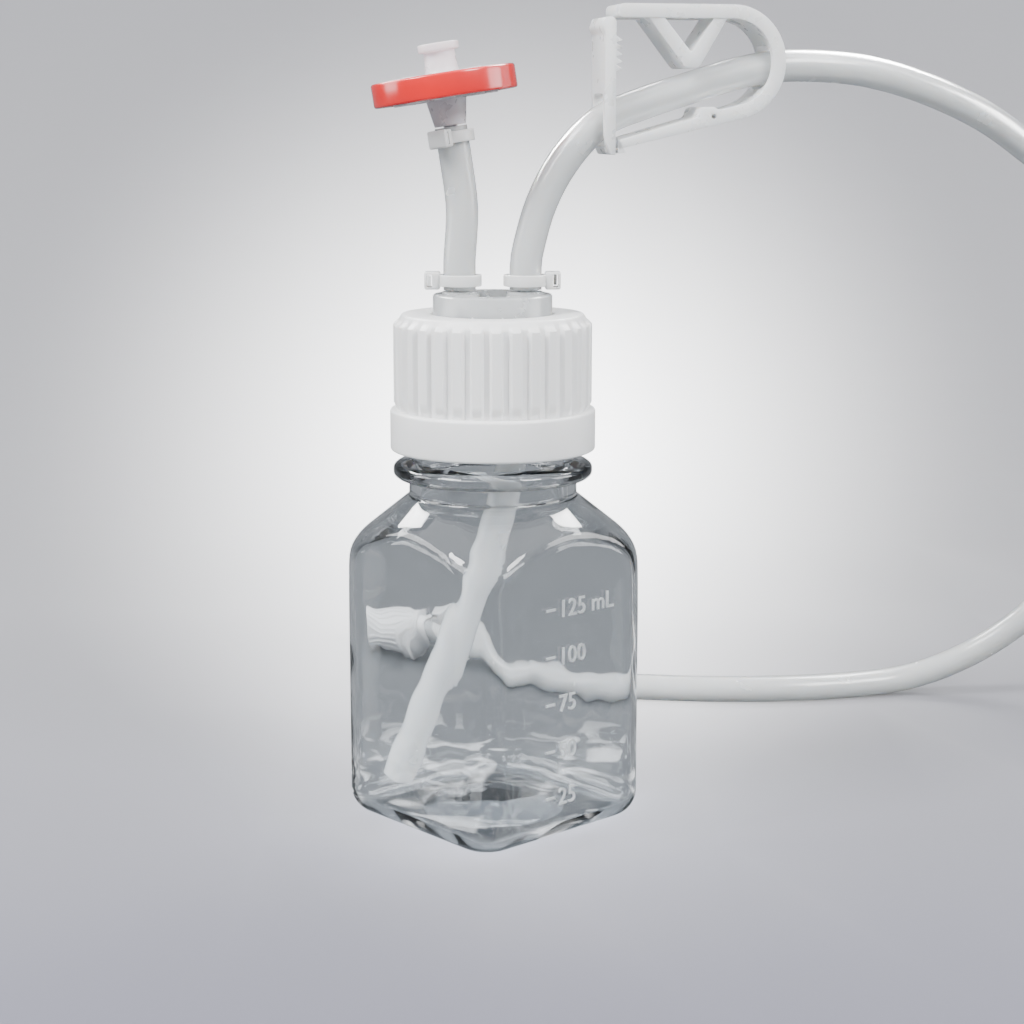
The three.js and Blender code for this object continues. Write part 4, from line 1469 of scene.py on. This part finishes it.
    def post(self) -> bpy.types.Object:
        """The toothed post at the open end, with the window that the tube passes.

        Returns:
            The post's object.
        """
        right = self.left - 0.3
        left = right - self.post_thickness
        foot = self.lower(self.outer, self.left)
        corners = [(right, foot)]
        for k in range(self.teeth):
            base = self.tooth_start + k * self.tooth_pitch
            corners += [(right, base), (right + self.tooth_depth, base + 0.5, 0.2),
                        (right, base + self.tooth_depth)]
        corners += [(right, 27.2, 0.4), (right - 0.8, 28, 0.4), (left, 28, 0.5), (left - 0.7, 26, 0.5),
                    (left, 24.4, 0.5), (left, foot + 3.2, 2.0), (left + 1.5, foot, 1.2)]
        half = self.width / 2
        way = soften(block((8, self.window + 3, self.window), (left, 6.5, 0)), 1.2, 3)
        bar = carved(soften(prism(rounded(corners, 4), -half, half), 0.45, 2), [way])
        return piece("clamp_latch", bar, NATURAL, Body.LATCH_POST, ["clamp_post"], self.frame())

    def build(self) -> list[bpy.types.Object]:
        """Makes the clamp's two pieces. Returns them."""
        return [self.base_and_arm(), self.post()]


# ---------------------------------------------------------------- the end coupling


@dataclass
class EndCoupling:
    """The coupling on the tube's far end and the ribbed plug cap over its nipple."""

    flange_radius: float = 7.0
    flange: float = 1.6
    collar_radius: float = 5.0
    collar: float = 5.0
    stem: float = 9.0
    nipple: float = 4.0
    nipple_length: float = 11.0
    groove: float = 0.9
    cap_radius: float = 6.4
    cap_length: float = 16.5
    cap_wall: float = 1.6
    cap_ribs: int = 20
    cap_rib: float = 0.9
    tie_back: float = 9.8
    gap: float = 0.3

    def frame(self) -> Matrix:
        """The coupling's own placement.

        Returns:
            A placement with its origin at the flange and Z towards the cap's closed end.
        """
        joint = next(j for j in frame["joints"] if j["name"] == "plug_pull")
        axis = Vector(joint["axis"]).normalized()
        low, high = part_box("coupling_cap")
        middle = (low + high) / 2 / MM
        origin = middle - axis * (self.flange + self.gap + self.cap_length / 2)
        turn = Vector((0, 0, 1)).rotation_difference(axis).to_matrix().to_4x4()
        return Matrix.Translation(origin) @ turn

    def tie_place(self) -> Matrix:
        """Where the tie holds the tube on the coupling's stem."""
        return self.frame() @ Matrix.Translation((0, 0, -self.tie_back))

    def build(self) -> list[bpy.types.Object]:
        """Makes the body and its cap, and dresses the seal.

        Returns:
            The body's and the cap's objects.
        """
        place = self.frame()
        tube_end = -self.collar - self.gap
        cap_low = self.flange + self.gap
        groove = cap_low + self.nipple_length - 3
        tip = cap_low + self.nipple_length
        body = lathe(rounded([
            (0.9, tube_end - self.stem), (1.5, tube_end - self.stem), (1.9, tube_end - self.stem + 2),
            (1.5, tube_end - self.stem + 2.1), (1.9, tube_end - 3), (1.5, tube_end - 2.9),
            (1.5, -self.collar), (self.collar_radius - 0.8, -self.collar, 0.4),
            (self.collar_radius, -self.collar + 2, 0.4), (self.collar_radius, 0, 0.4),
            (self.flange_radius, 0, 0.4), (self.flange_radius, self.flange, 0.4),
            (self.nipple, self.flange, 0.2), (self.nipple, groove, 0.1),
            (self.nipple - self.groove, groove), (self.nipple - self.groove, groove + 1.8),
            (self.nipple, groove + 1.8, 0.1), (self.nipple, tip, 0.5), (0.9, tip),
        ], 3), 64)
        inner = self.nipple + 0.35 + self.gap
        end = cap_low + self.cap_length
        cap = lathe(rounded([
            (inner, cap_low, 0.2), (self.flange_radius, cap_low, 0.3),
            (self.flange_radius, cap_low + 1.5, 0.4), (self.cap_radius - 0.3, cap_low + 2, 0.3),
            (self.cap_radius - 0.3, end, 1.0), (0, end), (0, end - self.cap_wall),
            (inner, end - self.cap_wall, 0.3),
        ], 4), 80)
        bars = []
        for k in range(self.cap_ribs):
            turn = Matrix.Rotation(math.tau * k / self.cap_ribs, 4, "Z")
            bar = block((self.cap_rib, self.cap_rib, self.cap_length - 5.5),
                        (self.cap_radius - 0.5, 0, (cap_low + end) / 2 + 0.4))
            bars.append(moved(soften(bar, 0.25), turn))
        made = [piece("coupling_stem", body, WHITE, Body.CLOSURE, ["coupling_body"], place),
                piece("coupling_plug", merged(cap, *bars), WHITE, Body.PLUG_CAP, ["coupling_cap"],
                      place)]
        dress_node("coupling_seal", SEAL)
        return made


# ---------------------------------------------------------------- studio


@dataclass
class Studio:
    """The camera, a pale sweep of paper with a pool of light on it, and soft lamps."""

    lens: float = 72.06
    sensor: float = 36.0
    place: tuple[float, float, float] = (0.3340, -0.2959, 0.1547)
    pitch: float = math.radians(10.86)
    heading: float = math.radians(47.92)
    flat_front: float = -4.0
    flat_depth: float = 0.3
    bend: float = 0.7
    wall_step: float = 0.15
    half_width: float = 3.0
    width_steps: int = 120
    depth_steps: int = 40
    wall_steps: int = 13
    pool_middle: tuple[float, float] = (0.0, 0.06)
    pool_reach: float = 0.56
    pool_squash: float = 1.05
    pool_strength: float = 9.0
    # painted shade: where the paper starts to darken below the picture's middle, and over how far
    painted_lower_shade_line: float = 0.06
    painted_lower_shade_reach: float = 0.44
    # painted light: glowing noise patches on the paper, seen only through the bottle
    patch_scale: float = 62.0
    patch_edges: tuple[float, float] = (0.53, 0.64)
    patch_strength: float = 1.3
    patch_reach: tuple[float, float] = (0.05, 0.085)

    def build(self) -> None:
        """Makes the studio."""
        scene = bpy.context.scene
        camera = bpy.data.objects.new("camera", bpy.data.cameras.new("camera"))
        scene.collection.objects.link(camera)
        camera.data.lens = self.lens
        camera.data.sensor_width = self.sensor
        camera.data.clip_start = 0.01
        camera.location = self.place
        camera.rotation_euler = (math.pi / 2 - self.pitch, 0, self.heading)
        scene.camera = camera
        self.paper(scene, camera)
        self.sky_light(scene)
        self.lamp("key", (-0.15, -0.75, 0.85), 0.42, 22.0)
        self.lamp("side", (0.95, 0.1, 0.75), 0.4, 16.0)
        self.lamp("back", (-0.6, 0.85, 1.1), 0.9, 22.0)
        self.lamp("right_window", (-0.05, 0.72, 0.86), 0.42, 22.0, glints=True)
        self.lamp("left_window", (-0.84, -0.05, 0.76), 0.36, 16.0, glints=True)
        self.lamp("left_card", (-0.47, -0.52, 0.24), 0.34, 3.0, glints=True)
        self.lamp("right_card", (0.47, 0.52, 0.24), 0.34, 3.0, glints=True)

    def paper(self, scene: bpy.types.Scene, camera: bpy.types.Object) -> None:
        """The sweep: flat under the object, then bending up far behind it.

        Args:
            scene: The scene that shows it.
            camera: The camera it is turned to, and whose picture the pool of light is centred in.
        """
        bm = bmesh.new()
        glow = bm.verts.layers.float.new("pool")
        # painted shade: a share that darkens the paper towards the bottom of the picture
        painted_lower_shade = bm.verts.layers.float.new("painted_lower_shade")
        steps, flat = self.depth_steps, self.flat_depth - self.flat_front
        line = [(self.flat_front + flat * k / steps, 0.0) for k in range(steps + 1)]
        line += [(self.flat_depth + self.bend * math.sin(t), self.bend * (1 - math.cos(t)))
                 for t in (math.pi / 2 * k / steps for k in range(1, steps + 1))]
        line += [(self.flat_depth + self.bend, self.bend + self.wall_step * k)
                 for k in range(1, self.wall_steps + 1)]
        verts = [bm.verts.new((-self.half_width, d, z)) for d, z in line]
        edges = [bm.edges.new(pair) for pair in zip(verts, verts[1:])]
        for _ in range(self.width_steps):
            grown = bmesh.ops.extrude_edge_only(bm, edges=edges)["geom"]
            fresh = [item for item in grown if isinstance(item, bmesh.types.BMVert)]
            edges = [item for item in grown if isinstance(item, bmesh.types.BMEdge)
                     and all(vert in set(fresh) for vert in item.verts)]
            bmesh.ops.translate(bm, verts=fresh, vec=(2 * self.half_width / self.width_steps, 0, 0))
        bmesh.ops.transform(bm, matrix=Matrix.Rotation(self.heading, 4, "Z"), verts=bm.verts)
        bmesh.ops.recalc_face_normals(bm, faces=bm.faces)
        view = (Matrix.Translation(self.place) @ camera.rotation_euler.to_matrix().to_4x4()).inverted()
        scale = self.lens / self.sensor
        for vert in bm.verts:
            seen = view @ vert.co
            depth = max(-seen.z, 0.05)
            across = seen.x / depth * scale - self.pool_middle[0]
            upward = seen.y / depth * scale - self.pool_middle[1]
            vert[glow] = max(1 - math.hypot(across, upward * self.pool_squash) / self.pool_reach, 0)
            below = -(upward + self.pool_middle[1] + self.painted_lower_shade_line)
            vert[painted_lower_shade] = min(max(below / self.painted_lower_shade_reach, 0), 1)
        mesh = bpy.data.meshes.new("paper")
        bm.to_mesh(mesh)
        bm.free()
        ground = bpy.data.objects.new("paper", mesh)
        scene.collection.objects.link(ground)
        mesh.materials.append(self.paper_finish())

    def paper_finish(self) -> bpy.types.Material:
        """Pale grey paper, its pool of light seen by the camera alone, with painted shade that darkens it
        towards the bottom of the picture and a much darker painted copy for every other ray.

        Returns:
            The paper's material.
        """
        paint = bpy.data.materials.new("paper")
        paint.use_nodes = True
        tree = paint.node_tree
        shader = tree.nodes["Principled BSDF"]
        shader.inputs["Roughness"].default_value = 0.9
        straight = tree.nodes.new("ShaderNodeLightPath").outputs["Is Camera Ray"]
        # painted shade: the paper's colour falls from the top colour to a darker one at the bottom of the
        # picture
        fall = self.two_colours(tree, vertex_value(tree, "painted_lower_shade"))
        fall.inputs["A"].default_value = (0.27, 0.27, 0.29, 1)
        fall.inputs["B"].default_value = (0.135, 0.135, 0.175, 1)
        # painted shade: every ray but the camera's sees a much darker copy of the paper, which dims it in
        # reflections and through the bottle
        shade = self.two_colours(tree, straight)
        shade.inputs["A"].default_value = (0.075, 0.083, 0.092, 1)
        tree.links.new(fall.outputs["Result"], shade.inputs["B"])
        tree.links.new(shade.outputs["Result"], shader.inputs["Base Color"])
        pool = maths(tree, "MULTIPLY", maths(tree, "POWER", vertex_value(tree, "pool"), 2.6), straight)
        # painted light: the camera-only pool, plus painted patches seen only through the bottle
        power = maths(tree, "MULTIPLY_ADD", pool, self.pool_strength,
                      self.painted_light_patches(tree, straight))
        shader.inputs["Emission Color"].default_value = (1, 1, 1, 1)
        tree.links.new(power, shader.inputs["Emission Strength"])
        return paint

    def two_colours(self, tree: bpy.types.NodeTree, share: bpy.types.NodeSocket) -> bpy.types.Node:
        """A mix of two colours.

        Args:
            tree: The material's nodes.
            share: How much the second one shows.

        Returns:
            The mixing node, its colours not set yet.
        """
        shade = tree.nodes.new("ShaderNodeMix")
        shade.data_type = "RGBA"
        tree.links.new(share, shade.inputs["Factor"])
        return shade

    def painted_light_patches(self, tree: bpy.types.NodeTree,
                       straight: bpy.types.NodeSocket) -> bpy.types.NodeSocket:
        """Painted patches of light on the paper, standing in for what a clear base gathers, seen only
        through the bottle.

        Args:
            tree: The paper's nodes.
            straight: The socket that is 1 where the camera looks straight at the paper.

        Returns:
            The strength of the patches.
        """
        place = tree.nodes.new("ShaderNodeTexCoord").outputs["Object"]
        # painted light: noise patches made to glow, fading out away from the bottle
        pattern = noise_pattern(tree, place, self.patch_scale, 1.5, 1.2)
        patches = spread_out(tree, pattern, self.patch_edges, (0.0, self.patch_strength))
        away = tree.nodes.new("ShaderNodeVectorMath")
        away.operation = "LENGTH"
        tree.links.new(place, away.inputs[0])
        near = spread_out(tree, away.outputs["Value"], self.patch_reach, (1.0, 0.0))
        hidden = maths(tree, "SUBTRACT", 1.0, straight)
        return maths(tree, "MULTIPLY", maths(tree, "MULTIPLY", patches, near), hidden)

    def sky_light(self, scene: bpy.types.Scene) -> None:
        """Light from all round, dim at the horizon and bright overhead.

        Args:
            scene: The scene that it lights.
        """
        world = bpy.data.worlds.new("sky")
        world.use_nodes = True
        tree = world.node_tree
        background = tree.nodes["Background"]
        split = tree.nodes.new("ShaderNodeSeparateXYZ")
        tree.links.new(tree.nodes.new("ShaderNodeTexCoord").outputs["Generated"], split.inputs[0])
        ramp = tree.nodes.new("ShaderNodeValToRGB")
        ramp.color_ramp.elements[0].position = 0.0
        ramp.color_ramp.elements[0].color = (0.38, 0.40, 0.43, 1)
        ramp.color_ramp.elements[1].position = 0.75
        ramp.color_ramp.elements[1].color = (1.25, 1.27, 1.3, 1)
        tree.links.new(split.outputs["Z"], ramp.inputs["Fac"])
        tree.links.new(ramp.outputs["Color"], background.inputs["Color"])
        scene.world = world

    def lamp(self, name: str, place: tuple[float, float, float], size: float, power: float,
             glints: bool = False) -> None:
        """A soft square lamp aimed at the bottle.

        Args:
            name: The lamp's name.
            place: Where it hangs, in metres.
            size: Its side, in metres.
            power: Its power, in watts.
            glints: Whether it is only seen in shiny and clear pieces, as a window is.
        """
        light = bpy.data.lights.new(name, "AREA")
        light.size = size
        light.energy = power
        lamp = bpy.data.objects.new(name, light)
        bpy.context.scene.collection.objects.link(lamp)
        lamp.location = place
        lamp.visible_diffuse = not glints
        aim = Vector((0, 0, 0.08)) - Vector(place)
        lamp.rotation_euler = aim.to_track_quat("-Z", "Y").to_euler()


# ---------------------------------------------------------------- the whole


def main() -> None:
    """Builds the studio and every sub-assembly."""
    logging.basicConfig(level=logging.INFO, format="%(message)s")
    Studio().build()
    transfer = TransferTube()
    hose, path = transfer.build()
    ShortTubes().build()
    Bottle().build()
    ScrewCap().build()
    PortInsert().build()
    vent_filter = VentFilter()
    vent_filter.build()
    tie_height = sum(corner.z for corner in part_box("tie_vent_port")) / 2 / MM
    for side, name in ((Side.VENT, "vent"), (Side.TRANSFER, "transfer")):
        turn = Matrix.Rotation(math.pi if side is Side.VENT else 0, 4, "Z")
        at = Matrix.Translation((side.value * PORT_OFFSET, 0, tie_height))
        CableTie(f"{name}_port_tie", f"tie_{name}_port", CLOSURE @ at @ turn).build()
    CableTie("filter_tie", "tie_filter", vent_filter.tie_place()).build()
    clamp = PinchClamp().build()
    coupling = EndCoupling()
    fittings = coupling.build()
    end_tie = CableTie("coupling_tie", "tie_coupling", coupling.tie_place()).build()


if __name__ == "__main__":
    main()
